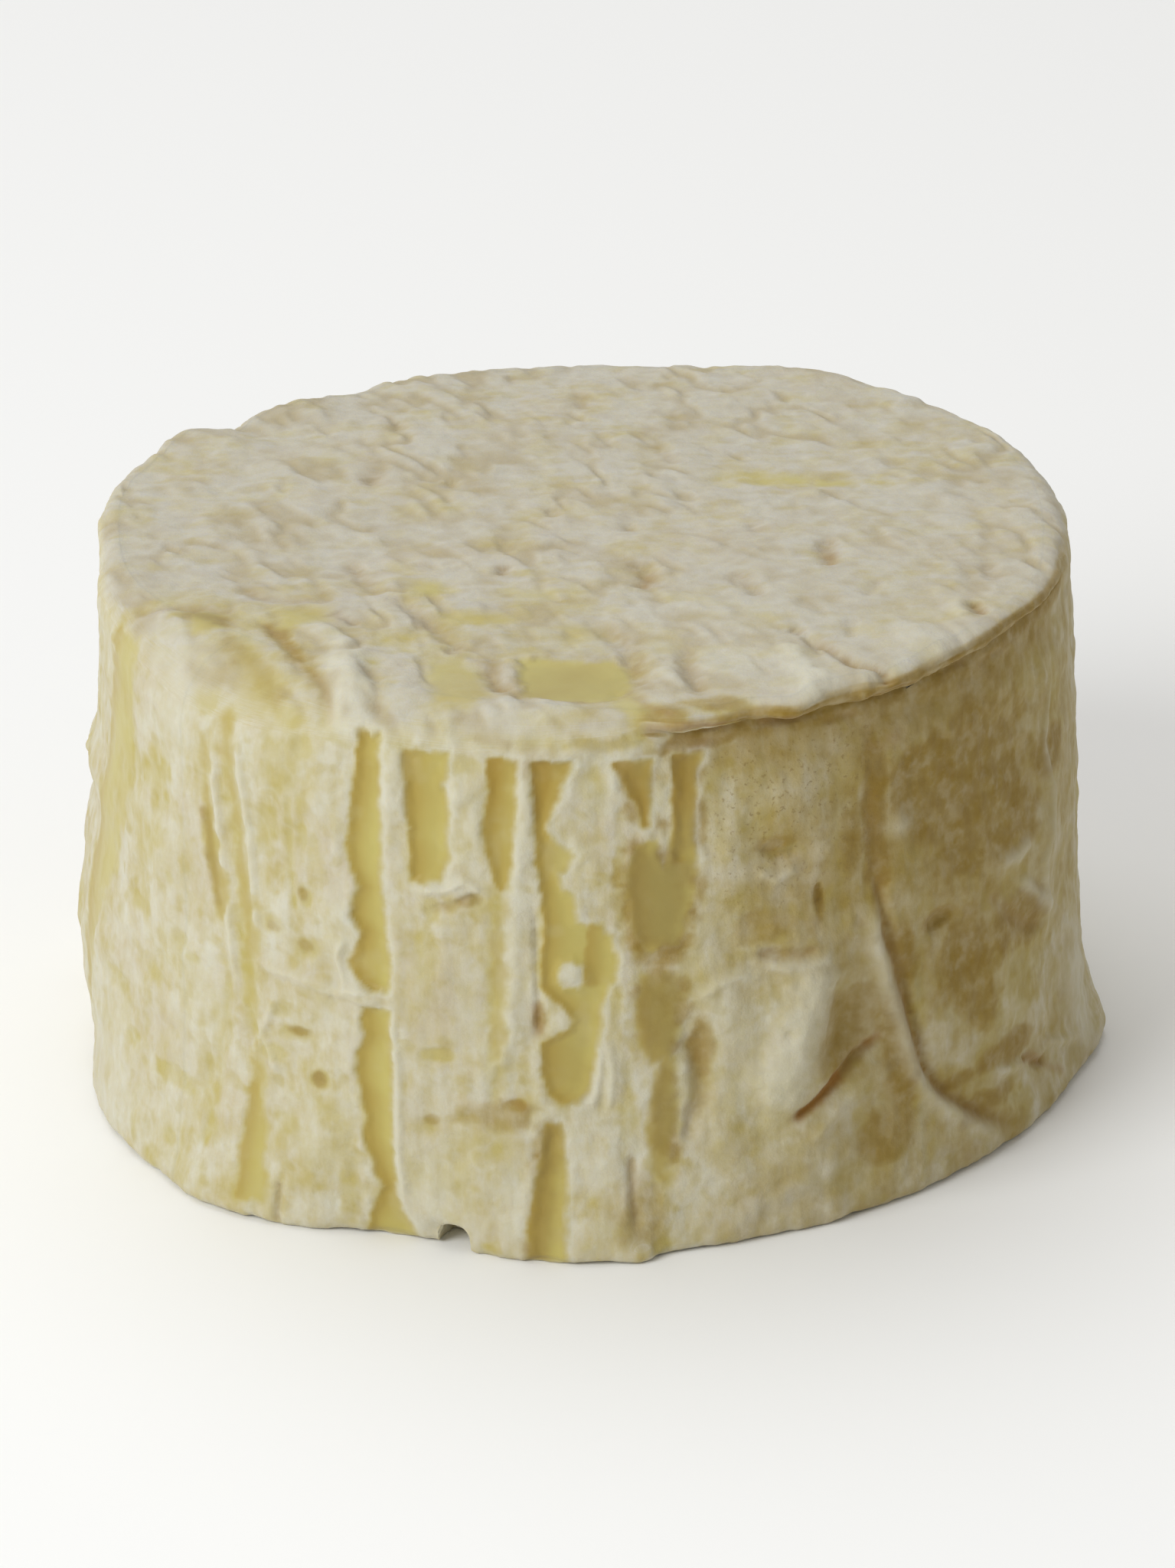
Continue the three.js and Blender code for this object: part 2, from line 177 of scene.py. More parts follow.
# %% The rules for the wall and the top face
def drum_radius(angle, z):
    radius = FOOT_RADIUS - TAPER * z / HEIGHT + FOOT_FLARE * bell(z, FLARE_HEIGHT)
    for at, height, half, half_height, out in SIDE_BULGES:
        radius = radius + out * bell(turned(angle - at), half) * bell(z - height, half_height)
    grown = smooth(*LOBES_HEIGHTS, z)
    for at, half, out, _ in RIM_LOBES:
        radius = radius + out * bell(turned(angle - at), half) * grown
    return radius


def shoulder_radius(angle):
    return SHOULDER + sum(
        more * bell(turned(angle - at), half) for at, half, more in SHOULDER_WEAR
    )


def top_height(x, y):
    angle = np.degrees(np.arctan2(x, -y))
    rimward = smooth(*LOBES_RADII, np.hypot(x, y))
    z = HEIGHT + np.zeros_like(x)
    for at, half, _, up in RIM_LOBES:
        z = z + up * bell(turned(angle - at), half) * rimward
    for bx, by, wx, wy, up in TOP_BULGES:
        z = z + up * bell(x - bx, wx) * bell(y - by, wy)
    return z


print("radius at the foot's front:", round(float(drum_radius(0.0, 0.0)), 2), "mm")

# %% [markdown]
# The lip
# At the right front the top rind has come loose from the side and stands out over it as a lip,
# and the side falls back below it into shade. The wall's outline is a list of points there:
# up the undercut side, out to the edge of the lip, round it and on to the top.

# %% The lip's sizes
LIP_GROWS = (5, 12)
LIP_FADES = (66, 82)
LIP_OUT = 0.55
LIP_THICK = 1.9
LIP_UNDERCUT = 0.6
UNDERCUT_HEIGHT = 5.5
LIP_ROOT = 0.1
LIP_ROOM = 1.2  # height kept free for the turn into the undercut
LIP_STARTS_BELOW = 8  # rows of the wall that the turn into the lip reaches down
# From below: distance behind the edge, and share of the thickness down.
LIP_SECTION = [(0.6, 1), (0, 0.62), (0.45, 0.24), (1.6, 0.02), (3.2, 0)]
# Scallops of its edge: angle, half-width, out.
LIP_SCALLOPS = [
    (24, 2.6, 1.3), (19, 2, -0.35), (37, 5, 0.8), (31.5, 1.4, -0.3), (57, 5, -0.3),
]


def lip_share(angle):
    return band(angle, *LIP_GROWS, *LIP_FADES)


def lip_out(angle):
    return LIP_OUT + sum(out * bell(turned(angle - at), half) for at, half, out in LIP_SCALLOPS)


print("the lip stands out most,", round(float(lip_out(24.0)), 2), "mm, at 24 degrees")

# %% [markdown]
# The skin
# The relief of a rind is finer than a millimetre, and it has to be real shape, so the skin gets
# a point every quarter of a millimetre. Each of the 1200 columns is one cut through the axis.
# It runs round the foot, up the wall and over the shoulder. Where the lip is, only a few points
# of the cut are known, so a smooth curve that passes through all of them fills in the rest.

# %% One cut through the axis for each column
COLUMNS = 1200
UNDER_ROWS = 4
UNDER_STEP = 0.4  # millimetres between the rows under the foot
FOOT_ROWS = 9
SIDE_ROWS = 246
SHOULDER_ROWS = 40
column_angles = np.arange(COLUMNS) * 360.0 / COLUMNS - 180.0


def curve_through(points, share):
    """The place at a share of the way along a curve through the points of every column."""
    last = len(points) - 1
    place = share * last
    i = min(int(place), last - 1)
    t = place - i
    a, b, c, d = (points[min(max(j, 0), last)] for j in (i - 1, i, i + 1, i + 2))
    return 0.5 * (
        2 * b + (c - a) * t + (2 * a - 5 * b + 4 * c - d) * t**2 + (3 * b - a - 3 * c + d) * t**3
    )


def cut_rows(angle):
    """Radius and height of each row of points, for all columns at once."""
    rows = []
    foot = drum_radius(angle, np.zeros_like(angle)) - FOOT_ROUND
    for i in range(UNDER_ROWS):
        rows.append((foot - (UNDER_ROWS - i) * UNDER_STEP, np.zeros_like(angle)))
    for i in range(FOOT_ROWS + 1):
        a = math.pi / 2 * i / FOOT_ROWS
        z = np.full_like(angle, FOOT_ROUND * (1 - math.cos(a)))
        rows.append((drum_radius(angle, z) - FOOT_ROUND * (1 - math.sin(a)), z))
    worn = shoulder_radius(angle)
    lip = lip_share(angle)
    rim = drum_radius(angle, np.full_like(angle, HEIGHT))
    turn = np.radians(angle)
    top = top_height((rim - worn) * np.sin(turn), -(rim - worn) * np.cos(turn))
    side_end = top - mix(worn, LIP_THICK + LIP_ROOM, lip)
    for i in range(1, SIDE_ROWS + 1):
        z = mix(FOOT_ROUND, side_end, i / SIDE_ROWS)
        undercut = LIP_UNDERCUT * lip * smooth(UNDERCUT_HEIGHT, 1, side_end - z)
        rows.append((drum_radius(angle, z) - undercut, z))
    edge = rim + lip_out(angle)
    root = (rim - LIP_UNDERCUT - LIP_ROOT, top - LIP_THICK - LIP_ROOT)
    overhang = [rows[-LIP_STARTS_BELOW], rows[-1], root]
    overhang += [(edge - behind, top - LIP_THICK * down) for behind, down in LIP_SECTION]
    overhang = np.array(overhang)
    first = 1 / (len(overhang) - 1)
    last = 1 - first
    for i in range(1, SHOULDER_ROWS + 1):
        share = i / SHOULDER_ROWS
        a = math.pi / 2 * share
        z = top - worn * (1 - math.sin(a))
        r = drum_radius(angle, z) - worn * (1 - math.cos(a))
        over_r, over_z = curve_through(overhang, mix(first, last, share))
        rows.append((mix(r, over_r, lip), mix(z, over_z, lip)))
    return np.array(rows)


cuts = cut_rows(column_angles)  # rows, radius or height, columns
ROWS = len(cuts)
print("rows in a cut:", ROWS, "points in the wall:", ROWS * COLUMNS)

# %% [markdown]
# The two flat faces
# Rings that shrink to a point would crowd their points in the middle and leave a star there. So
# each flat face is a square grid, pressed round: the rings of the square become rings of the
# drum. Its 300 by 300 cells have exactly 1200 points on their border, one for each column.

# %% A round face made from a square grid
GRID = COLUMNS // 4
RIM_FIT = 0.85  # from this share of the radius outwards a face bends to meet the ring's height


def place_on_ring(values, angle):
    """A value of the ring's columns, read between them at any angle."""
    place = (angle + 180.0) / 360.0 * COLUMNS
    closed = np.append(values, values[0])
    return np.interp(place % COLUMNS, np.arange(COLUMNS + 1), closed)


def round_face(ring_radius, ring_height, height_at):
    """Points of a face inside its ring, and the number of the ring's column at its border."""
    steps = np.arange(GRID + 1) * 2.0 / GRID - 1.0
    a, b = np.meshgrid(steps, steps, indexing="ij")
    share = np.maximum(abs(a), abs(b))
    wide = abs(a) >= abs(b)
    safe_a = np.where(wide & (a != 0), a, 1.0)
    safe_b = np.where(~wide & (b != 0), b, 1.0)
    theta = np.where(wide, 45.0 * b / safe_a, 90.0 - 45.0 * a / safe_b)
    theta = theta + 180.0 * np.where(wide, a < 0, b < 0)
    angle = turned(theta + 90.0)
    rim = place_on_ring(ring_radius, angle)
    rim_x = rim * np.sin(np.radians(angle))
    rim_y = -rim * np.cos(np.radians(angle))
    x, y = share * rim_x, share * rim_y
    missing = place_on_ring(ring_height, angle) - height_at(rim_x, rim_y)
    z = height_at(x, y) + missing * smooth(RIM_FIT, 1, share)
    column = np.round((angle + 180.0) / 360.0 * COLUMNS).astype(int) % COLUMNS
    border = share > 1.0 - 1e-9
    return np.stack([x, y, z], -1).reshape(-1, 3), np.where(border, column, -1).ravel()


def face_cells(numbers, upwards):
    """The square cells of a face as four point numbers each, seen from outside."""
    n = numbers.reshape(GRID + 1, GRID + 1)
    cells = np.stack([n[:-1, :-1], n[1:, :-1], n[1:, 1:], n[:-1, 1:]], -1).reshape(-1, 4)
    return cells if upwards else cells[:, ::-1]


# %% All points of the skin, and the cells between them
spin = np.radians(column_angles)
wall_points = np.stack(
    [cuts[:, 0] * np.sin(spin), -cuts[:, 0] * np.cos(spin), cuts[:, 1]], -1
).reshape(-1, 3)
wall_number = np.arange(ROWS * COLUMNS).reshape(ROWS, COLUMNS)
right_of = np.roll(wall_number, -1, axis=1)
wall_cells = np.stack(
    [wall_number[:-1], right_of[:-1], right_of[1:], wall_number[1:]], -1
).reshape(-1, 4)
skin_points = [wall_points]
face_number = {}
for face, row, height_at in (
    ("top", ROWS - 1, top_height),
    ("base", 0, lambda x, y: np.zeros_like(x)),
):
    inner, column = round_face(cuts[row, 0], cuts[row, 1], height_at)
    start = sum(len(p) for p in skin_points)
    numbers = np.where(column >= 0, row * COLUMNS + column, -1)
    numbers[column < 0] = start + np.arange((column < 0).sum())
    skin_points.append(inner[column < 0])
    face_number[face] = numbers
skin = np.concatenate(skin_points)
top_cells = face_cells(face_number["top"], True)
base_cells = face_cells(face_number["base"], False)
skin_cells = np.concatenate([wall_cells, top_cells, base_cells])
print("skin:", len(skin), "points,", 2 * len(skin_cells), "triangles")


def outward(points, cells):
    """The outward direction at each point: the mean of the cells round it, by area."""
    a, b, c, d = (points[cells[:, i]] for i in range(4))
    facing = np.cross(c - a, d - b)
    total = np.stack(
        [
            sum(np.bincount(cells[:, i], facing[:, k], len(points)) for i in range(4))
            for k in range(3)
        ],
        -1,
    )
    return total / np.maximum(np.linalg.norm(total, axis=1, keepdims=True), 1e-12)


# %% [markdown]
# The notch
# A bite is missing from the lower edge at the front left, like the mouth of a small tunnel. Cut
# from the front it would fold the thin rows of the foot over each other. So it is pushed in from
# below: the underside is lifted to the roof of the tunnel, and the wall above it is pressed
# together to make room.

# %% Lift the roof of the notch
NOTCH_ANGLE = -14.6
NOTCH_HALF = 1.95
NOTCH_HEIGHT = 2.4
NOTCH_DEPTH = 4.2
NOTCH_BACK = 1.6  # its back wall slopes over this length
NOTCH_SQUEEZE = 7.0  # the wall is pressed together up to this height

skin_angle = np.degrees(np.arctan2(skin[:, 0], -skin[:, 1]))
skin_radius = np.hypot(skin[:, 0], skin[:, 1])
across = turned(skin_angle - NOTCH_ANGLE) / NOTCH_HALF
inwards = drum_radius(skin_angle, np.zeros(len(skin))) - skin_radius
arch = np.sqrt(np.clip(1 - across**2, 0, 1)) * NOTCH_HEIGHT
roof = arch * smooth(NOTCH_DEPTH, NOTCH_DEPTH - NOTCH_BACK, inwards)
low = np.clip(skin[:, 2] / NOTCH_SQUEEZE, 0, 1)
lifted = (roof > 0) & (skin[:, 2] < NOTCH_SQUEEZE)
skin[lifted, 2] += (roof * (1 - low))[lifted]
print("points lifted for the notch:", int(lifted.sum()))

# %% [markdown]
# Maps of the skin
# A feature of the wall is easiest to place by angle and height, and one of the top by x and y.
# So every point keeps both, with a share that tells how much it belongs to the wall or to the
# top. Where the shoulder is broad the two shares cross over.

# %% Where each point of the skin is
skin_out = outward(skin, skin_cells)
upness = skin_out[:, 2]  # 1 where the skin faces straight up, 0 on the wall, -1 underneath
WALL_BAND = (-0.98, -0.75, 0.45, 0.85)
TOP_BAND = (0.3, 0.62)
share_of = {"side": band(upness, *WALL_BAND), "top": smooth(*TOP_BAND, upness)}
skin_height = skin[:, 2].copy()
for face, values in share_of.items():
    print("points on the", face, int((values > 0.5).sum()))

# %% What each point keeps: how far it is pushed, and its share of every look
push = np.zeros(len(skin))  # millimetres outwards, found in the steps below
# The bloom share also carries a painted highlight along the strips' right edges, the stain share
# painted shade below the lip and on its edge, and the amber share partly painted shade along the
# strips' left edges.
LOOKS = ("bare", "amber", "thin", "stain", "crease", "rust", "bloom", "dots")
look = {name: np.zeros(len(skin)) for name in LOOKS}
print("looks:", ", ".join(LOOKS))


# %% Measures on the unrolled skin
def near(face, course, margin):
    """The skin's points near a course or outline, flattened round its first point."""
    if face == "side":
        start = course[0][0]
        flat = np.array([(turned(a - start) * ARC, z) for a, z in course], float)
        u = turned(skin_angle - start) * ARC
        v = skin_height
    else:
        flat = np.array(course, float)
        u, v = skin[:, 0], skin[:, 1]
    low_end, high_end = flat.min(0) - margin, flat.max(0) + margin
    close = (u > low_end[0]) & (u < high_end[0]) & (v > low_end[1]) & (v < high_end[1])
    i = np.flatnonzero(close & (share_of[face] > 0))
    return i, u[i], v[i], flat


def gap_to(flat, u, v, closed=False):
    """Distance from each point to a course of straight stretches, and how far along it is."""
    ends = np.concatenate([flat[1:], flat[:1]]) if closed else flat[1:]
    best = np.full(len(u), np.inf)
    along = np.zeros(len(u))
    for i, ((ax, ay), (bx, by)) in enumerate(zip(flat, ends)):
        dx, dy = bx - ax, by - ay
        t = np.clip(((u - ax) * dx + (v - ay) * dy) / (dx * dx + dy * dy + 1e-12), 0, 1)
        gap = np.hypot(u - ax - t * dx, v - ay - t * dy)
        along = np.where(gap < best, (i + t) / len(ends), along)
        best = np.minimum(best, gap)
    return best, along


def depth_inside(flat, u, v):
    """How far inside an outline each point is, in millimetres, and negative outside."""
    inside = np.zeros(len(u), bool)
    for (ax, ay), (bx, by) in zip(flat, np.roll(flat, -1, axis=0)):
        if ay != by:
            crosses = (ay > v) != (by > v)
            inside ^= crosses & (u < ax + (v - ay) * (bx - ax) / (by - ay))
    return gap_to(flat, u, v, closed=True)[0] * np.where(inside, 1, -1)


# %% Four fields of chance, in millimetres
wobble = layered_noise(skin, size=1.5, seed=11)  # makes every edge wander
fray = layered_noise(skin, size=0.55, seed=23)  # and frays it
drift = layered_noise(skin, size=3.6, seed=31)  # bends the outline of a patch
haze = layered_noise(skin, size=2.4, seed=41)  # thins out a film
print("spread of the wobble:", round(float(wobble.std()), 2))

# %% [markdown]
# Torn strips
# When the wrapper came off it took strips of rind with it, and the smooth paste shows in
# shallow channels with upright walls. A cutter object would leave hard, even edges. So each
# strip is an outline on the unrolled wall, and every point is told how far it is inside it.
# Each outline is read off the front of the cheese as a few heights with two angles each.

# %% The torn strips: height, and the angles where the bare paste starts and ends there
TORN = [
    (1.15, [
        (48.2, -24.5, -22.2), (44, -24.7, -22), (40, -25.4, -22), (37.6, -26, -22.1),
        (35.6, -25.6, -22.3), (34, -24.5, -22.2), (32.6, -25.1, -21.9), (31.2, -25.4, -21.8),
        (29.8, -24.5, -21.7), (28.2, -25, -21.5), (26.8, -26.1, -21.3), (25.4, -25, -21.4),
        (24.4, -23.4, -21.8),
    ]),
    (1, [
        (22.6, -24.6, -21.4), (20, -24.2, -21.4), (18, -25.2, -21.5), (15.6, -25.4, -21.5),
        (13.4, -24.7, -21.6), (10, -24.6, -21.7), (7, -23.8, -21.7), (5.2, -22.8, -21.6),
        (3.4, -24, -21), (1.6, -25, -20.2), (-1.5, -25.2, -19.2),
    ]),
    (1.25, [(47.2, -18.9, -14.3), (42, -18.7, -14.2), (38, -18.6, -14.4), (35.4, -18.4, -15.3)]),
    (0.9, [
        (47, -9.4, -6.5), (42, -9.9, -6.8), (40, -10.1, -7), (36, -9.3, -7.7),
        (34.8, -8.8, -8.2),
    ]),
    (1.1, [
        (46.7, -4.8, -0.8), (45, -4.7, -1.5), (43.4, -4.7, -2.4), (41.4, -4.6, -3.3),
        (40, -4.5, -2.2), (38.2, -4.6, -0.8), (36.6, -4.3, -1.8), (34.4, -4, -0.6),
        (32, -3.9, -0.4), (30.6, -4.1, 3.4), (28, -4.3, 3.6), (26, -4.4, 2.8), (23.6, -2.2, 1.9),
        (21.6, -2.6, 1.6), (20.4, -4.4, 1.4), (17.6, -4.4, 0.9), (15.8, -3.8, 0.3),
        (14.8, -2.6, -0.8),
    ]),
    (0.62, [(31.6, 0.9, 2.2), (29, 0.5, 3.6), (26.2, 0.5, 3.2)]),
    (1.1, [
        (12.6, -4.1, -2.9), (10, -4.6, -2.5), (8, -5, -2.4), (6, -5.5, -2.4), (3.6, -6.1, -2.5),
        (0.4, -6.2, -2.7), (-1.5, -6, -2.8),
    ]),
    (1, [(46.6, 3.9, 8), (44.4, 5.3, 8), (42.4, 6.5, 7.6), (40.8, 7, 7.4)]),
    (1.05, [(46.6, 10.5, 13.6), (44, 10.6, 12.8), (41, 10.3, 12.6), (37, 10.1, 12.4)]),
    (0.55, [(38.8, 6.2, 12.2), (36, 5.4, 12.4), (33, 5.4, 12), (30.6, 5.9, 11), (29.4, 6.6, 10.4)]),
    (0.46, [(26.2, 6.6, 10.2), (24, 5.9, 10.5), (21.6, 6, 10.2), (19.6, 6.6, 9.4), (18.2, 7, 8)]),
    (0.46, [(18.4, 8.6, 9.8), (16, 7.2, 10), (14, 6.9, 10), (11, 7.1, 9.4), (7, 7.7, 8.7)]),
    (0.42, [
        (48.8, -67.8, -62.6), (44, -69.6, -62.2), (39, -71.6, -62.4), (33, -74, -64),
        (28.5, -76, -66.4), (24, -76.8, -69), (19, -77.4, -72), (14, -78.2, -75.2),
        (9, -78.8, -77.6),
    ]),
    (0.42, [(44.6, -46.8, -45.8), (40, -46.4, -45), (34, -45.6, -43.6), (27, -44, -42.8)]),
    (0.36, [
        (47, -43.4, -41.8), (38, -41.8, -40.3), (30, -40.5, -39.2), (22, -39.7, -38.3),
        (17.4, -38.8, -38),
    ]),
    (0.5, [(17, -39, -38.2), (10, -39.5, -37.6), (6, -40, -36.9), (2, -40.2, -36.6)]),
    (0.36, [(35.4, -9.6, -8), (30, -9.8, -8.4), (25, -9.8, -8.4), (21, -10, -8.5), (16, -9.6, -9)]),
]

# %% [markdown]
# The strips of the back
# The photograph does not show the back. A cheese is torn all round, so its back gets strips of
# the same kind, each drawn from a few values. Dice with a fixed seed make their edges wander.

# %% Hidden strips: depth, angle, top, foot, lean in degrees, and width at the top and the foot
HIDDEN_STRIPS = [
    (0.9, 97, 44, 25, -1.2, 1.4, 2.6), (0.5, 101.4, 46, 33, 0.6, 1.3, 0.4),
    (0.55, 118, 27, 3, 1.6, 0.6, 3), (1, 135.4, 46.4, 20, 1, 3.4, 1.6),
    (0.5, 140, 44, 30, 0.4, 1.6, 1), (0.45, 150, 36, 11, -1.4, 0.8, 2),
    (1, 166, 27, -1.5, 0.8, 1.8, 4.2), (0.9, 177, 46.6, 34, 0.4, 3.4, 2.6),
    (0.55, -178, 46, 38, 0.2, 1.4, 1), (0.95, -167, 45, 22, 1, 3.2, 1.2),
    (0.45, -157, 30, 5, -1, 0.8, 2.2), (0.5, -150.6, 46, 24, 0.8, 1.4, 0.6),
    (0.9, -141, 17, -1.5, -0.8, 1.4, 4), (0.5, -121, 44, 14, 1.4, 2.2, 1),
    (0.6, -103.6, 15, -1.5, -0.8, 1, 3.4),
]
STRIP_STEP = 2.6  # millimetres between two corners of a hidden strip's edge
THINNEST = 0.2  # half a width, in degrees
WANDERS = (0.12, 0.1, 0.3)  # of the middle line, the width and the left edge
dice = random.Random(21)
for depth, angle, high, low, lean, at_top, at_foot in HIDDEN_STRIPS:
    steps = round((high - low) / STRIP_STEP)
    rows = []
    for step in range(steps + 1):
        share = step / steps
        middle_by, half_by, left_by = (wander * dice.gauss(0, 1) for wander in WANDERS)
        middle = angle + lean * share + middle_by
        half = max(mix(at_top, at_foot, share) * (0.5 + half_by), THINNEST)
        rows.append((mix(high, low, share), middle - half - abs(left_by), middle + half))
    TORN.append((depth, rows))
print("the back has", len(HIDDEN_STRIPS), "strips")

# %% Scraps of rind that stayed inside the strips, as outlines of angle and height
SCRAPS = [
    [(-2.9, 27.2), (-2.3, 28.3), (-1.1, 28.5), (0, 27.7), (0.3, 26.6), (-0.6, 25.6),
     (-2.1, 25.5), (-2.9, 26.3)],
    [(-5.4, 25.6), (-3.6, 25.2), (-2, 23.8), (-0.9, 22.6), (-1.4, 21.8), (-3.6, 20.9),
     (-5.6, 21)],
    [(-0.4, 47.4), (-1.6, 43.8), (-3.7, 40.7), (-2.6, 39.4), (-1.4, 38.6), (2, 39),
     (3, 43), (3.6, 47.4)],
    [(-2.4, 36.6), (-1.2, 36.8), (0.6, 37.4), (2, 33), (0.2, 31.8), (-0.6, 32.4),
     (-0.9, 34.4), (-2.1, 35)],
    [(-14.9, 44.4), (-14.2, 45.3), (-12.4, 45.4), (-12, 42.6), (-13.9, 42.6)],
    [(7.6, 44.6), (8.4, 41), (8, 38), (9, 36.4), (9.9, 38), (10.2, 42), (9.6, 47)],
]
print("strips:", len(TORN), "scraps:", len(SCRAPS))

# %% [markdown]
# How a strip changes the skin round it
# Four things follow from the distance to a strip's edge. The skin drops to the paste over a short
# slope, and bare paste comes out there. The rind swells a little behind the edge, and bloom
# gathers on it. The left wall of a strip is steep, the right one loose. Along the left edge the
# paste is amber, partly ripened and partly painted shade, and a painted highlight runs along the
# right edge. A shallow strip kept a film of rind.

# %% The sizes of an edge
SCRAP_FLOOR = 0.12  # scraps stand this much lower than the whole rind round them
SCRAP_FRAY = 0.12
EDGE_WOBBLE = 0.24
EDGE_FRAY = 0.1
RIND_THICK = 0.31  # the paste lies this deep in a strip of depth 1
WALL_DROP = (-0.42, 0.65)  # millimetres inside the edge over which the wall drops
BARE_EDGE = (-0.3, 0.22)  # and over which the paste comes out
HALVES = (-0.4, 0.4)  # millimetres round the middle line, where the left half becomes the right
LOOSE_HALVES = (-0.4, 0.8)
LOOSE_RIGHT = 0.8  # how much softer the right edge is
STEEP_LEFT = 0.2  # the left wall is bare nearly up to its edge
HAZE = 0.12  # a thin film of rind stayed on the paste in places
HAZE_PLACES = (0.1, 0.9)
WHOLE_STRIP = 0.62  # a strip that is shallower keeps some rind
SHALLOW_WOBBLE = 8  # how fast its edge gets more ragged
SHALLOW_SOFT = 5  # and softer
SHALLOW_FILM = 1.2  # and how fast the film on it gets thicker
AMBER_WIDE = 1.5  # amber along the left edge: partly ripened paste, partly painted shade of the wall
AMBER_SHARE = 0.7
AMBER_RIGHT = (0.2, 0.3)  # share and width along the right edge
AMBER_TOP = 0.6  # and at the upper end of the strips that start high up
AMBER_REACH = (8.0, 1)
AMBER_STRIPS = (40, 44)
AMBER_DEPTHS = (0.3, 0.6)
RIPE_FROM = (-16, -5)  # more so towards the right of the front
RIM_RISE = 0.13
RIM_BACK = 0.8  # the swollen rim's middle lies this far behind the edge
RIM_WIDE = 0.65
RIM_DEPTHS = (0.3, 0.9)  # only deep strips have a rim
LINE_BACK = 0.4  # a painted highlight runs close behind the right edge, where the light from the left falls
LINE_WIDE = 0.3
LINE_DEPTHS = (0.4, 0.9)
RIM_BLOOM = 0.5
LINE_HIGHLIGHT = 0.7
RIM_UNEVEN = (0.6, 1.2)  # the rim's usual height, which the wobble changes, and its highest
SCRAP_EDGE = (-0.6, 0.4)

# %% Where the scraps lie
scrap = np.full(len(skin), -9.0)
for outline in SCRAPS:
    i, u, v, flat = near("side", outline, 1.5)
    scrap[i] = np.maximum(scrap[i], depth_inside(flat, u, v) + SCRAP_FRAY * fray[i])
print("points in scraps:", int((scrap > 0).sum()))

# %% One rule for every strip
torn_depth = np.zeros(len(skin))
rim_up = np.zeros(len(skin))
lit_rim_highlight = np.zeros(len(skin))


def keep_most(values, i, more):
    values[i] = np.maximum(values[i], more)


def tear(depth, rows):
    outline = [(start, z) for z, start, _ in rows] + [(end, z) for z, _, end in rows[::-1]]
    i, u, v, flat = near("side", outline, 2.0)
    cover = share_of["side"][i]
    shallow = max(0, WHOLE_STRIP - depth)
    gap = depth_inside(flat, u, v) + EDGE_FRAY * fray[i]
    gap = gap + EDGE_WOBBLE * (1 + SHALLOW_WOBBLE * shallow) * wobble[i]
    gap = np.minimum(gap, -scrap[i])
    heights = np.array([z for z, _, _ in rows])[::-1]
    left, right = (
        np.array([turned(row[side] - outline[0][0]) * ARC for row in rows])[::-1]
        for side in (1, 2)
    )
    from_left = u - np.interp(v, heights, left)
    to_right = np.interp(v, heights, right) - u
    off_middle = from_left - to_right
    rightward = smooth(*HALVES, off_middle)
    soft = 1 + SHALLOW_SOFT * shallow + LOOSE_RIGHT * smooth(*LOOSE_HALVES, off_middle)
    # The paste comes out.
    bare = smooth(BARE_EDGE[0] * soft, BARE_EDGE[1] * soft, gap + STEEP_LEFT * (1 - rightward))
    bare = bare * cover * smooth(0, WHOLE_STRIP, depth)
    bare = bare * (1 - (HAZE + SHALLOW_FILM * shallow) * smooth(*HAZE_PLACES, haze[i]))
    keep_most(look["bare"], i, bare)
    # Amber along the edges and at the upper end: ripened paste, and along the left edge also
    # painted shade of the wall.
    share, wide = AMBER_RIGHT
    ripe_and_shade = AMBER_SHARE * bell(from_left, AMBER_WIDE) + share * bell(to_right, wide)
    upper_end = AMBER_TOP * smooth(*AMBER_REACH, heights[-1] - v)
    upper_end = upper_end * smooth(*AMBER_STRIPS, heights[-1]) * smooth(*AMBER_DEPTHS, depth)
    ripe_and_shade = ripe_and_shade + upper_end * smooth(*RIPE_FROM, outline[0][0])
    keep_most(look["amber"], i, bare * ripe_and_shade)
    # The wall drops, and the rind swells behind the edge.
    drop = depth * RIND_THICK * smooth(WALL_DROP[0] * soft, WALL_DROP[1] * soft, gap)
    keep_most(torn_depth, i, drop * cover)
    usual, highest = RIM_UNEVEN
    rim = bell(gap + RIM_BACK, RIM_WIDE) * cover * np.clip(usual + wobble[i], 0, highest) / soft
    keep_most(rim_up, i, rim * smooth(*RIM_DEPTHS, depth))
    # A thin painted highlight behind the right edge, where the light from the left falls on the
    # rim.
    line = bell(gap + LINE_BACK, LINE_WIDE) * rightward * cover
    keep_most(lit_rim_highlight, i, line * smooth(*LINE_DEPTHS, depth))


# %% Cut the strips
for depth, rows in TORN:
    tear(depth, rows)
push -= torn_depth
whole = 1 - look["bare"]
push += RIM_RISE * rim_up * whole
push -= SCRAP_FLOOR * smooth(*SCRAP_EDGE, scrap) * share_of["side"] * whole
# The rim's bloom and the painted highlight along the right edges go into the bloom share.
look["bloom"] += (RIM_BLOOM * rim_up + LINE_HIGHLIGHT * lit_rim_highlight) * whole
print("bare paste on the wall:", round(100 * float(np.mean(look["bare"] > 0.5)), 1), "% of points")

# %% [markdown]
# Folds, creases and lumps
# The wall also carries marks that are as long as a finger is wide: pale folds where the paper
# was pleated, brown creases between them, and soft lumps. A fold is a course of a few places
# with a width. What counts is how far a point is from that course, so one small rule serves
# for all of them.

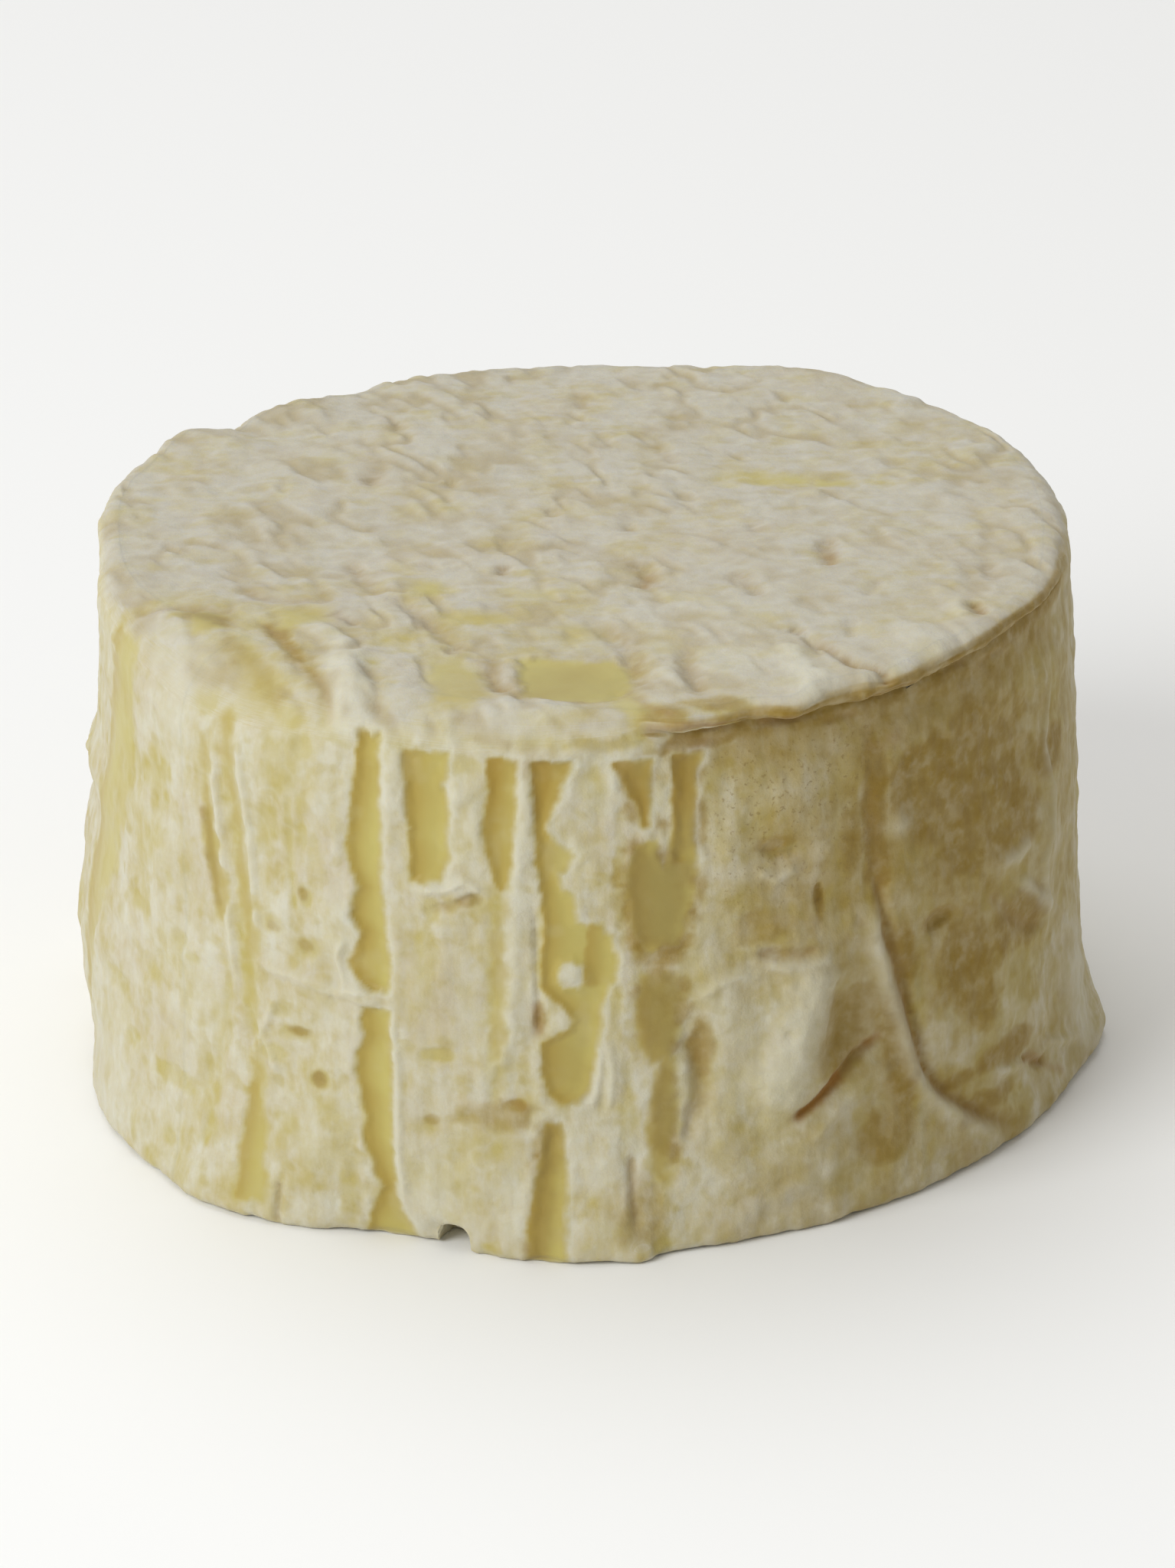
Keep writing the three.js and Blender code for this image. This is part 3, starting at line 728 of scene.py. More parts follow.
# %% Courses on the wall: half-width, how far out, colour of the crease, bloom, places
WALL_COURSES = [
    (0.6, -0.62, 0.75, 0, [
        (34.6, 33), (35, 30), (35.8, 26), (37, 23), (38.3, 19.6), (39.4, 16), (40.3, 12.6),
        (42.4, 9.6), (46, 7), (50, 4.6), (55, 2.2),
    ]),
    (0.8, 0.5, 0, 0.55, [
        (32.6, 28.8), (33.9, 27.6), (34.4, 25), (35.6, 21.4), (37.4, 17), (38.6, 13),
        (40.6, 9.6), (44.4, 6.6), (49, 3.6), (53, 1.6),
    ]),
    (0.55, -0.6, 0.8, 0, [(22.8, 11), (26, 12.4), (30, 14.3), (34.6, 16.3)]),
    (0.9, 0.22, 0, 0.3, [(-30, 47.2), (-20, 48.6), (-12, 48.2), (-4, 47.8), (5, 47.6)]),
    (0.8, 0.4, 0, 0.2, [(24.4, 8.6), (28, 10.8), (32, 12.6), (36, 13.6)]),
    (0.9, -0.45, 0.3, 0, [(11.2, 21), (12.4, 18), (12.6, 15), (11.2, 12), (10.6, 10.4)]),
    (0.9, -0.5, 0.15, 0, [(41.8, 25), (43.8, 25.5), (45.8, 25.4)]),
    (0.5, 0.16, 0, 0.45, [(10.9, 18.6), (11, 15), (10.5, 12), (9.6, 10)]),
    (2.1, 0.9, 0, 0.9, [(26.4, 25.6), (25, 22), (23, 17.6), (20.6, 11.6)]),
    (0.4, -0.25, 0.4, 0, [(4.8, 10), (4.7, 6), (5, 3)]),
    (0.7, 0.5, 0, 0.5, [(-38, 24.6), (-33, 24.2), (-27, 23.7), (-22, 23.4)]),
    (0.4, 0.3, 0, 0.9, [(-21.4, 23.2), (-20.7, 16), (-20.8, 9), (-20.4, 4)]),
    (0.9, 0.26, 0, 0.7, [
        (-5.6, 47), (-5.8, 42), (-6.7, 38), (-7.1, 32), (-7.6, 26), (-8.7, 21), (-10, 17.6),
        (-12, 14.8),
    ]),
    (0.35, -0.3, 0.15, 0, [(-5.2, 33), (-4.9, 27), (-5, 21)]),
    (0.4, 0.35, 0, 0.9, [(1.3, 20.4), (1.5, 18), (1.1, 15.6), (0.6, 14.4)]),
    (0.4, 0.3, 0, 0.7, [(2.6, 20.4), (2.8, 17), (2.4, 14)]),
    (0.6, 0.3, 0, 0.6, [(12.6, 24), (14.6, 25.2), (17, 25.6), (20, 25)]),
    (0.6, 0.3, 0, 0.6, [(20, 26.2), (24, 25.8), (28, 25.6)]),
    (0.5, -0.3, 0.45, 0, [(19, 27.4), (22.6, 26.9), (26.4, 26.8)]),
    (0.45, 0.35, 0, 0.5, [(19.6, 35.2), (21.6, 34.2), (24, 34.9)]),
    (0.45, -0.35, 0.25, 0, [(20, 37.2), (22, 36.2), (24.2, 36.4)]),
    (0.8, -0.22, 0.35, 0, [(33.8, 41), (34.2, 36), (34.2, 31)]),
    (0.45, -0.25, 0.5, 0, [(26.7, 33), (27, 31)]),
    (0.5, 0.45, 0, 0.3, [(52, 8), (56, 7.2), (61, 6.6), (64, 6)]),
    (0.5, 0.45, 0, 0.3, [(64, 7), (69, 5.4), (74, 4)]),
    (0.5, -0.5, 0.7, 0, [(58, 7.4), (61, 6.2), (64.4, 5)]),
    (0.35, -0.35, 0.35, 0, [(-35, 4.4), (-35.2, 0.2)]),
    (0.4, 0.3, 0, 0.5, [(-39.6, 21), (-38.4, 18.6), (-37, 16.4), (-35.6, 14)]),
    (0.4, 0.3, 0, 0.5, [(-36, 21.4), (-37.4, 18.6), (-39.4, 15.4)]),
    (0.35, 0.35, 0, 0.9, [(-44.6, 44), (-43.6, 36), (-42.6, 28), (-41.6, 22)]),
    (0.35, 0.3, 0, 0.8, [(-40.6, 46), (-39.2, 36), (-38.4, 27)]),
    (0.4, -0.35, 0.3, 0, [(-10.4, 33.6), (-12, 34.2), (-13.8, 33.4), (-16.6, 32.6)]),
    (0.4, 0.35, 0, 0.6, [(-17.2, 34.6), (-15, 34.6), (-12.6, 35.6), (-10.6, 34.8)]),
    (0.4, 0.35, 0, 0.6, [(-22.4, 24.6), (-26.6, 24.2), (-27.6, 27), (-26.6, 29)]),
    (0.6, 0.35, 0, 0.4, [(69, 42), (66, 36), (67, 30), (64, 25), (66, 18)]),
    (0.8, -0.3, 0.45, 0, [(52, 26), (56, 22.6), (60, 20.2), (65, 18.6)]),
    (0.7, 0.3, 0, 0.6, [(54.6, 28.2), (58, 27.4), (61, 28)]),
    (0.7, 0.35, 0, 0.6, [(58.6, 25), (62, 22.8), (67, 19.4)]),
    (0.9, 0.2, 0, 0.3, [(15, 1.6), (19, 3.6), (24, 4.6), (29, 6)]),
    (0.7, -0.45, 0.35, 0, [(157, 38), (153, 31), (147.6, 22), (145, 10)]),
    (0.7, -0.45, 0.35, 0, [(-134, 36), (-130, 27), (-129, 18), (-126, 8)]),
    (0.6, 0.4, 0, 0.5, [(104, 40), (107, 30), (106, 20), (109, 9)]),
    (0.6, 0.4, 0, 0.5, [(-152, 44), (-150, 32), (-147, 22), (-148, 12)]),
    (0.6, -0.4, 0.35, 0, [(84, 40), (86, 32), (84, 22)]),
    (0.6, 0.35, 0, 0.5, [(126, 44), (127.6, 33), (126.6, 24)]),
    (0.6, 0.35, 0, 0.5, [(-112, 42), (-113.6, 30), (-112, 20)]),
    (0.8, 0.4, 0, 0.4, [(-100, 31), (-94, 30), (-88, 30.6)]),
    (0.6, 0.4, 0, 0.5, [(171, 42), (172.4, 30), (171, 18)]),
]

# %% Lumps of the wall: angle, height, half-width in millimetres, half-height, out, bloom
WALL_LUMPS = [
    (30, 18.6, 2.6, 4.6, -0.9, 0), (17, 18, 3, 5, 0, 0.4), (33, 20, 1.6, 4, 0.4, 0.1),
    (36, 23.4, 1.4, 2.4, 0.4, 0.1), (-1.3, 27, 1.1, 0.9, 0.25, 1),
    (-35.3, 29, 1.4, 1.8, 0.35, 0.5), (38, 36, 1.3, 1.1, 0.35, 0.6), (76, 9, 4, 4.4, 0.8, 0.7),
    (44, 25.2, 1.8, 1, -0.35, 0), (16, 22, 2, 3, 0.4, 0.2), (3.4, 17, 1, 2, 0.35, 0.3),
    (-31.5, 19, 1.8, 1.5, -0.4, 0), (-13, 43.6, 1.2, 1, 0.5, 0.9),
    (-14.4, 44, 0.6, 0.7, -0.35, 0), (-4.6, 22.4, 0.6, 0.9, -0.3, 0),
    (-17, 1.6, 1.1, 1.2, -0.6, 0), (-47, 20, 3, 5, 0.3, 0.4), (50, 38, 3, 4, -0.3, 0),
    (0.6, 42, 2.4, 2.4, 0.3, 0.1), (-51, 44, 3, 3, 0.3, 0.6), (112, 33, 4, 5, 0.5, 0.4),
    (128, 16, 4, 4, -0.5, 0), (-114, 30, 3, 5, 0.4, 0.4), (-100, 40, 4, 4, -0.4, 0),
    (-171, 18, 4, 4, 0.5, 0.3), (157, 14, 3, 4, 0.4, 0.4), (-28.4, 41, 2.2, 6, 0.35, 0.3),
    (-27.6, 31, 1.5, 1.8, 0.4, 0.3), (-27.8, 28, 1.4, 1.2, 0.35, 0.3),
    (-20.7, 43, 0.7, 5, 0.25, 0.5), (-12.4, 39, 1.5, 4, 0.3, 0.2),
    (-15, 26, 2.4, 4.6, 0.35, 0.3), (-19, 12, 2, 6, 0.3, 0.1), (-11, 8, 3, 4, 0.4, 0.1),
    (-30, 10, 2.4, 6, 0.35, 0.1), (2.4, 8, 2, 5, 0.4, 0.1), (25, 6, 5, 3.6, 0.7, 0.2),
    (15, 8, 2.4, 5, 0.4, 0.1), (17, 36, 3, 5, 0.35, 0.1), (24, 41, 3, 4, 0.3, 0),
    (38, 30, 2.2, 5, 0.4, 0), (52, 14, 4, 4, 0.5, 0), (45, 33, 2.4, 5, -0.4, 0),
    (60, 38, 4, 5, -0.4, 0), (66, 28, 3, 5, 0.5, 0.2), (-55, 28, 3, 6, 0.35, 0.2),
    (-17, 5, 2.4, 3, 0, 0.6), (-12.6, 22, 1.6, 3, 0, 0.5), (-8, 5, 1.6, 3, 0, 0.4),
    (-72, 8, 8, 8, 0, 0.5), (-50, 14, 3, 4, 0.4, 0.2), (-62, 6, 3, 4, 0.3, 0.2),
    (-36, 44, 3, 3, 0.3, 0.2),
]

# %% Tints along a course: the look and the face, then half-width, share and places
TINTS = {
    ("bloom", "side"): [
        (2.4, 0.6, [(73, 11), (76, 7), (77, 4)]),
    ],
    ("rust", "side"): [
        (0.45, 0.95, [(23.6, 11.2), (26, 12.3), (29, 13.8)]),
        (0.5, 0.6, [(33.4, 15.8), (34.6, 16.4)]),
        (0.4, 0.3, [(60, 7.2), (64, 4.8), (68, 2.8)]),
        (0.5, 0.4, [(-5.2, 24), (-4.9, 21.6)]),
        (0.6, 0.4, [(8, 49.4), (12, 49.6), (16, 49)]),
        (0.5, 0.4, [(21, 48.8), (23.4, 49), (25.6, 48.8)]),
        (0.5, 0.25, [(13, 47), (14.4, 47.4)]),
        (0.6, 0.2, [(34, 44.2), (38, 44.4)]),
        (0.5, 0.3, [(-6.4, 14.4), (-8, 14.8)]),
    ],
    ("rust", "top"): [
        (0.5, 0.2, [(-27.4, -21.4), (-25.8, -24.6), (-24.8, -28), (-24, -30.4)]),
        (0.4, 0.15, [(-23, -32.4), (-21.8, -35.6), (-21, -39)]),
        (0.6, 0.3, [(6.8, -12.6), (6.5, -15)]),
        (0.6, 0.3, [(23.3, -9), (23.5, -11.6)]),
        (0.5, 0.25, [(35.8, -22.4), (36, -23.8)]),
        (0.6, 0.35, [(4.2, -39.6), (6, -42.4), (8, -44.2)]),
        (0.6, 0.3, [(27.4, -38.6), (27.8, -41.4)]),
    ],
    ("stain", "side"): [
        (1.3, 0.4, [(44.6, 9), (48, 6.2), (53, 3.2), (56.4, 1.6)]),
        (0.6, 0.5, [(-45.9, 37), (-45, 32), (-44.4, 29)]),
        (0.4, 0.5, [(-11, 48.6), (-9, 48.6), (-7.4, 48.2)]),
        (0.7, 0.2, [(0, 48.4), (3, 48.3), (5.4, 48.5)]),
        (1.3, 0.8, [(-4, 12), (-4.7, 7), (-5.4, 3), (-5.6, 0)]),
    ],
    ("stain", "top"): [
        (1, 1.2, [(-33.6, -18.6), (-32, -20.4), (-31.2, -21.4)]),
        (0.9, 0.45, [(-27, -22), (-25.2, -26.4), (-23.6, -31), (-21.2, -37.6)]),
        (1, 0.4, [(-30.4, -25), (-28.4, -29.4), (-26, -34.6)]),
    ],
    ("thin", "side"): [
        (1.6, 1, [(44.6, 9.6), (48, 7), (53, 4), (57, 2.4)]),
        (0.8, 0.9, [(-42.8, 47.4), (-41.6, 40), (-40.8, 33), (-40, 25), (-39.2, 18)]),
        (0.6, 0.7, [(-42.8, 21), (-44, 15), (-45.4, 6)]),
        (0.5, 0.8, [(-33.6, 41), (-33.8, 36), (-33, 31)]),
        (0.6, 0.7, [(-9.4, 34), (-9.6, 28), (-9.8, 20), (-10, 15)]),
        (0.6, 0.8, [(-12.4, 48.3), (-9.6, 48.8), (-7, 48.1), (-4, 48.6)]),
        (0.5, 0.9, [(-2.6, 48), (0.6, 48.6), (3, 48.2), (6.4, 48.8)]),
    ],
    ("thin", "top"): [
        (1.4, 1.4, [(-35, -18.4), (-32, -20), (-29.6, -19.6)]),
        (1, 1, [(-28.8, -19.5), (-26.4, -23), (-24.6, -28.4), (-22.4, -34), (-20.8, -40)]),
        (1.7, 0.95, [(-31, -24), (-29, -28), (-27, -32.4), (-24.4, -37.6)]),
    ],
}

# %% [markdown]
# The rules that draw them
# Three rules work like three brushes. A course pushes the skin in or out along a line, fades at
# its ends and may leave brown in the crease and bloom on the ridge. It keeps off bare paste. A
# tint lies along a line too, and only colours. A lump is a soft oval swelling or hollow.

# %% Rules that draw a course, a tint and a lump
COURSE_REACH = 3  # half-widths to each side, and a millimetre more for the wobble
LUMP_REACH = 2.5
TAIL = 0.12  # a course fades over this share of its length at both ends
TAIL_KEPT = 0.25  # and keeps this much of its depth at the very end
COURSE_WOBBLE = 0.3  # share of the half-width
TINT_WOBBLE = 0.4
CREASE_FRAY = 0.5


def draw_course(face, width, out, brown, white, course):
    i, u, v, flat = near(face, course, width * COURSE_REACH + 1)
    gap, along = gap_to(flat, u, v)
    gap = np.abs(gap + COURSE_WOBBLE * width * wobble[i])
    strength = mix(TAIL_KEPT, 1, band(along, 0, TAIL, 1 - TAIL, 1))
    mark = bell(gap, width) * strength * share_of[face][i] * (1 - look["bare"][i])
    push[i] += out * mark
    keep_most(look["crease"], i, brown * mark * (1 + CREASE_FRAY * fray[i]))
    look["bloom"][i] += white * mark


def draw_tint(name, face, width, share, course):
    i, u, v, flat = near(face, course, width * COURSE_REACH + 1)
    gap = gap_to(flat, u, v)[0] + TINT_WOBBLE * width * wobble[i]
    keep_most(look[name], i, share * bell(np.maximum(gap, 0), width) * share_of[face][i])


def draw_lump(face, at, wide, high, out, white):
    i, u, v, flat = near(face, [at], LUMP_REACH * max(wide, high))
    du, dv = u - flat[0][0], v - flat[0][1]
    mark = np.exp(-((du / wide) ** 2) - (dv / high) ** 2) * share_of[face][i]
    push[i] += out * mark
    look["bloom"][i] += white * mark


# %% Draw the courses, the lumps and the tints
for width, out, brown, white, course in WALL_COURSES:
    draw_course("side", width, out, brown, white, course)
for angle, z, wide, high, out, white in WALL_LUMPS:
    draw_lump("side", (angle, z), wide, high, out, white)
for (name, face), tints in TINTS.items():
    for width, share, course in tints:
        draw_tint(name, face, width, share, course)
print("courses:", len(WALL_COURSES), "lumps:", len(WALL_LUMPS))

# %% [markdown]
# Thin rind
# Where the mould grew poorly the rind is so thin that the yellow paste shines through, in
# patches with loose edges and often drawn out from top to bottom. These are kept as one share,
# which the material turns into colour and the relief into a slight dip.

# %% Thin places of the wall: angle, height, half-width in millimetres, half-height, share
WALL_THIN = [
    (-55.4, 37.6, 2.8, 3.6, 1), (-43.2, 17, 0.6, 3, 0.6), (-12, 46.4, 2, 0.9, 0.8),
    (-34.6, 43.4, 2, 3, 0.8), (-31.6, 46, 1.6, 1.2, 0.9), (-32, 38, 1, 4, 0.8),
    (-36.4, 38, 1.4, 4, 0.5), (-30.5, 35, 1.4, 3.6, 0.5), (-31.6, 32, 1, 1.4, 0.9),
    (-36, 28.6, 1.5, 1, 0.8), (-31.6, 27.4, 1.4, 1, 0.8), (-35.6, 20.6, 1.4, 0.8, 0.7),
    (-33, 18.6, 1.8, 0.9, 0.9), (-36.4, 16.4, 1.4, 0.8, 0.8), (-30, 14.8, 1, 1, 0.9),
    (-60.6, 24.6, 1.6, 0.9, 0.8), (-48, 22.6, 1.3, 0.5, 0.7), (-56.4, 32, 1.8, 0.8, 0.5),
    (-52.6, 29, 0.8, 0.8, 0.7), (-46.8, 47, 1.5, 1.1, 0.9), (-66, 15.4, 2.6, 0.9, 0.6),
    (-52, 4.4, 1.2, 0.7, 0.7), (-45.8, 12, 0.6, 4, 0.6), (-44, 23.4, 1, 0.5, 0.6),
    (-51, 23.5, 1.2, 1.2, 0.7), (-56, 18.8, 1.4, 1.2, 0.7), (-34.6, 10, 1.4, 1, 0.5),
    (-52, 10, 3, 1.1, 0.9), (-61, 11, 1.3, 1, 0.8), (-54.7, 1.5, 1.6, 1.1, 0.8),
    (-44.4, 14, 0.7, 6, 0.5), (-58, 30, 2, 6, 0.4), (-64, 40, 1.6, 6, 0.4),
    (-17, 28.6, 1.1, 2.6, 0.85), (-16.3, 32.4, 0.7, 1.1, 0.9), (-11.3, 33.9, 0.7, 0.6, 0.9),
    (-16, 19, 1.6, 0.7, 0.8), (-7.6, 14.6, 0.8, 0.5, 0.8), (-12.8, 12.8, 1.3, 0.7, 0.6),
    (-11, 0.8, 0.8, 0.8, 0.8), (-9.4, 30, 0.7, 6, 0.45), (-14.6, 47, 3.2, 0.45, 0.8),
    (-13, 9, 4, 4, 0.25), (-29, 8, 3, 5, 0.4), (-24, 12, 1.4, 8, 0.3), (-4.6, 28, 0.5, 6, 0.5),
    (3.4, 24, 0.7, 4, 0.6), (4.4, 35, 0.7, 6, 0.7), (4.6, 12, 0.8, 6, 0.6),
    (8.4, 8, 1.4, 5, 0.5), (7.8, 1, 0.8, 1, 0.8), (1.6, 44, 1.5, 2.6, 0.5),
    (-0.6, 40, 2, 2.4, 0.35), (12.6, 28, 2, 4, 0.5), (15.6, 31, 3, 3, 0.4), (18, 41, 4, 4, 0.4),
    (22, 36.8, 1.8, 0.9, 0.85), (26.8, 32, 0.5, 1.6, 0.95), (30, 36, 2, 7, 0.45),
    (33.6, 34, 0.8, 8, 0.6), (42, 34, 3, 3.4, 0.7), (46, 40, 5, 3.6, 0.6),
    (54, 38, 5.4, 6, 0.85), (57, 32, 3.4, 3.6, 1), (49, 33, 2, 6, 0.6), (66, 34, 2.6, 2.4, 0.8),
    (70, 40, 2, 4, 0.6), (64, 44, 4, 2, 0.5), (57, 25.6, 2.8, 1.8, 0.7), (55, 17, 8, 6, 0.5),
    (46, 18, 2.4, 5, 0.5), (50, 9, 2.2, 3, 0.55), (56, 4, 3, 1.4, 0.7), (49, 6.4, 3, 1.3, 0.7),
    (36, 8, 4, 3, 0.35), (31, 12, 2, 1.2, 0.5), (30, 4, 5, 2, 0.4), (21, 12, 2.4, 3, 0.45),
    (17, 14, 2, 3, 0.5), (13.4, 18, 1.4, 3.6, 0.75), (20, 29, 2.6, 1, 0.5), (40, 20, 1, 5, 0.6),
    (100, 36, 5, 7, 0.6), (124, 30, 3, 8, 0.6), (114, 8, 4, 4, 0.5), (141, 42, 4, 4, 0.6),
    (156, 24, 3, 6, 0.5), (172, 12, 4, 5, 0.6), (-176, 30, 3, 5, 0.6), (-162, 38, 3, 6, 0.6),
    (-152, 8, 4, 4, 0.5), (-134, 20, 4, 6, 0.6), (-112, 40, 4, 5, 0.6), (-110, 12, 3, 5, 0.6),
    (-92, 30, 3, 6, 0.5), (-84, 16, 3, 5, 0.5), (88, 22, 3, 6, 0.6), (-10, 48.6, 2.4, 0.8, 0.9),
    (-3, 48.3, 2, 0.7, 0.8), (5.6, 48.6, 1.6, 0.8, 0.9), (-20, 48.2, 2, 0.8, 0.7),
    (-16, 47.4, 1.2, 0.6, 0.8), (-26.6, 47.4, 1.6, 0.8, 0.7),
]

# %% Stained places, deeper and browner, in the same columns
WALL_STAIN = [
    (50, 37, 9, 8, 0.9), (56, 32, 5, 4, 1), (67, 35, 4, 2, 0.8), (44, 41, 5, 2.5, 0.8),
    (34.4, 37, 1.3, 7, 0.8), (31, 36, 1.6, 4, 0.5), (44, 25.6, 2.2, 1, 1), (48, 20, 4, 6, 0.7),
    (58, 21, 5, 2.5, 0.8), (56, 9.4, 5, 1.2, 0.7), (50, 5.6, 3.6, 1.4, 0.8),
    (45, 9, 2.6, 1.2, 0.7), (37, 14, 1.6, 6, 0.6), (35, 7, 3, 2.4, 0.5),
    (30, 18, 3.4, 3.6, 0.55), (38, 24, 1.6, 3, 0.7), (8.4, 34, 3.4, 6, 0.95),
    (8.4, 28.4, 2.4, 1.2, 0.5), (8.2, 23, 2.4, 4, 0.85), (8.6, 12.4, 1.4, 5, 0.8),
    (11.8, 42, 1.4, 5, 0.6), (6.6, 44, 1.4, 3, 0.5), (-2, 18, 2.6, 3, 0.3),
    (-32.8, 18.8, 1.3, 0.7, 0.5), (-30.2, 14.8, 0.7, 0.8, 0.5), (-36, 28.4, 1, 0.6, 0.35),
    (-31.8, 27.4, 0.9, 0.7, 0.35), (-32, 32.2, 0.7, 0.9, 0.4), (-12.4, 33.8, 0.9, 0.6, 0.4),
    (-17, 12.6, 0.9, 0.6, 0.3), (-8, 14.4, 1.2, 0.6, 0.4), (-10.6, 13.6, 4, 1.5, 0.3),
    (-15, 24, 1.4, 4, 0.2), (-4, 47, 3, 1.6, 0.3), (6, 5, 3, 3, 0.25), (12.8, 19, 1.2, 3, 0.8),
    (13.4, 47.8, 3, 0.9, 0.9), (21.6, 37.4, 1.6, 0.8, 0.5), (26.8, 31.6, 0.5, 1.4, 0.8),
    (-4.8, 23, 0.6, 1.2, 0.5), (20, 30, 3, 1.4, 0.3), (101, 38, 7, 8, 0.45),
    (116, 20, 5, 8, 0.35), (144, 36, 5, 6, 0.3), (-170, 18, 5, 8, 0.3), (-140, 34, 5, 7, 0.25),
    (158, 44, 4, 3, 0.3), (90, 12, 5, 4, 0.3),
]

# %% A rule for a patch, and the patches of the wall
PATCH_EDGE = {"side": (0.5, 1.35), "top": (0.25, 1.6)}  # shares of the patch's size
PATCH_DRIFT = 0.35
PATCH_WOBBLE = 0.25
PATCH_REACH = 1.8  # of its size, and a little more for the wobble


def draw_patch(name, face, at, wide, high, share):
    i, u, v, flat = near(face, [at], PATCH_REACH * max(wide, high) + 0.6)
    du, dv = u - flat[0][0], v - flat[0][1]
    off = np.hypot(du / wide, dv / high) + PATCH_DRIFT * drift[i] + PATCH_WOBBLE * wobble[i]
    keep_most(look[name], i, share * (1 - smooth(*PATCH_EDGE[face], off)) * share_of[face][i])


def draw_patches(name, face, rows):
    for u, v, wide, high, share in rows:
        draw_patch(name, face, (u, v), wide, high, share)
    print(name, "patches on the", face, len(rows))


draw_patches("thin", "side", WALL_THIN)
draw_patches("stain", "side", WALL_STAIN)

# %% [markdown]
# The top
# The top rind is the thickest: beige, dull and puckered, with short pits and long wrinkles that
# the cloth left. At the front left it is rubbed down to the paste over a broad worn shoulder.
# The same rules as on the wall draw it, only placed by x and y.

# %% Courses on the top: half-width, how far out, colour of the crease, bloom, places
TOP_COURSES = [
    (0.6, -0.36, 0.02, 0, [
        (-28.8, -19.5), (-26.4, -23), (-25.2, -26), (-24.4, -29), (-23.4, -31.5), (-22.1, -34.5),
        (-21.1, -37), (-20.8, -40),
    ]),
    (1.2, 0.4, 0, 0.9, [(-20.2, -29), (-19.4, -34), (-18.6, -39), (-18.2, -44)]),
    (0.5, -0.5, 0.5, 0, [(-21.5, -19.5), (-20.5, -21), (-19, -22.5)]),
    (0.6, -0.4, 0.35, 0, [(-30, -12), (-28, -15), (-24.6, -16), (-20.5, -16.5)]),
    (0.6, -0.5, 0.4, 0, [(-20.4, -6), (-19.4, -10), (-18.2, -13), (-17.4, -16)]),
    (0.6, -0.45, 0.35, 0, [(-16, -16.4), (-14, -20), (-12.6, -23.4), (-10.4, -28.6)]),
    (0.55, -0.55, 0.5, 0, [(-10.8, -28), (-10.3, -30)]),
    (0.5, -0.5, 0.55, 0, [(-8, -33), (-7, -35.6), (-6.3, -38)]),
    (0.7, -0.5, 0.5, 0, [(2.3, -24), (4.5, -28.5), (5, -32), (5.4, -35), (6, -38)]),
    (0.6, -0.6, 0.45, 0, [(9.5, -30), (10, -36), (11, -40)]),
    (0.45, -0.75, 0.7, 0, [
        (20.3, -28.5), (22.5, -32), (24, -35), (26.5, -36.5), (27.5, -39), (27.8, -42),
    ]),
    (0.4, -0.6, 0.5, 0, [(20.3, -28.5), (21.6, -33)]),
    (1.1, 0.6, 0, 0.9, [(18, -30), (19.4, -34), (20.2, -39), (20.8, -44.6)]),
    (0.9, 0.3, 0, 0.4, [(29, -27), (31, -31), (33, -34.6)]),
    (0.45, -0.3, 0.15, 0, [(31, -25), (33, -28), (34, -31)]),
    (0.45, -0.35, 0.2, 0, [(26.2, -20), (27.5, -16)]),
    (0.45, -0.35, 0.2, 0, [(24.5, -25), (24.3, -29)]),
    (0.5, -0.55, 0.5, 0, [(-6.2, -9.6), (-6.2, -11.6)]),
    (0.85, -0.75, 0.5, 0, [(6.9, -10), (6.5, -13), (6.4, -16.4)]),
    (0.6, -0.6, 0.45, 0, [(14.6, -13), (15.4, -16), (16.8, -19)]),
    (0.6, -0.6, 0.5, 0, [(23.3, -5), (23.1, -9), (23.4, -12.4)]),
    (0.6, -0.5, 0.35, 0, [(37.3, -12), (37.6, -17)]),
    (0.55, -0.65, 0.6, 0, [(35.2, -22), (36, -23), (35.8, -24.4)]),
    (0.5, 0.4, 0, 0.5, [(34.3, -21.4), (34, -23.4), (34.6, -25.2)]),
    (0.5, -0.5, 0.4, 0, [(19, -27), (20, -28)]),
    (0.5, -0.5, 0.35, 0, [(5.3, 0), (5.6, -2)]),
    (0.6, -0.55, 0.4, 0, [(-18.7, 13.4), (-18.2, 11.6)]),
    (0.5, -0.5, 0.3, 0, [(-11.2, 11.8), (-10.8, 10)]),
    (0.5, -0.45, 0.3, 0, [(-16.2, 28), (-15.8, 25.6)]),
    (0.5, -0.5, 0.3, 0, [(-2, 4), (-1.6, 2)]),
    (0.5, -0.45, 0.3, 0, [(16.4, -1), (16.8, -3)]),
    (0.5, -0.3, 0.3, 0, [(-40, -16.6), (-34, -17.4), (-30, -18.6)]),
    (0.6, -0.3, 0.3, 0, [(-8.6, -30), (-7, -34), (-5.8, -38.6)]),
    (0.6, -0.3, 0.3, 0, [(1, -23), (3.6, -28), (5, -33)]),
    (0.6, -0.3, 0.3, 0, [(-18.8, 18), (-18.4, 12)]),
    (0.6, -0.3, 0.3, 0, [(1, 36), (1.4, 30)]),
    (0.6, -0.3, 0.3, 0, [(8, 20), (10, 14)]),
    (0.9, 0.3, 0, 0.5, [(-23.6, -22), (-20.6, -27), (-19.4, -33), (-19, -40)]),
    (0.45, -0.35, 0.3, 0, [(-18.4, -33), (-17.2, -36), (-17, -41)]),
]

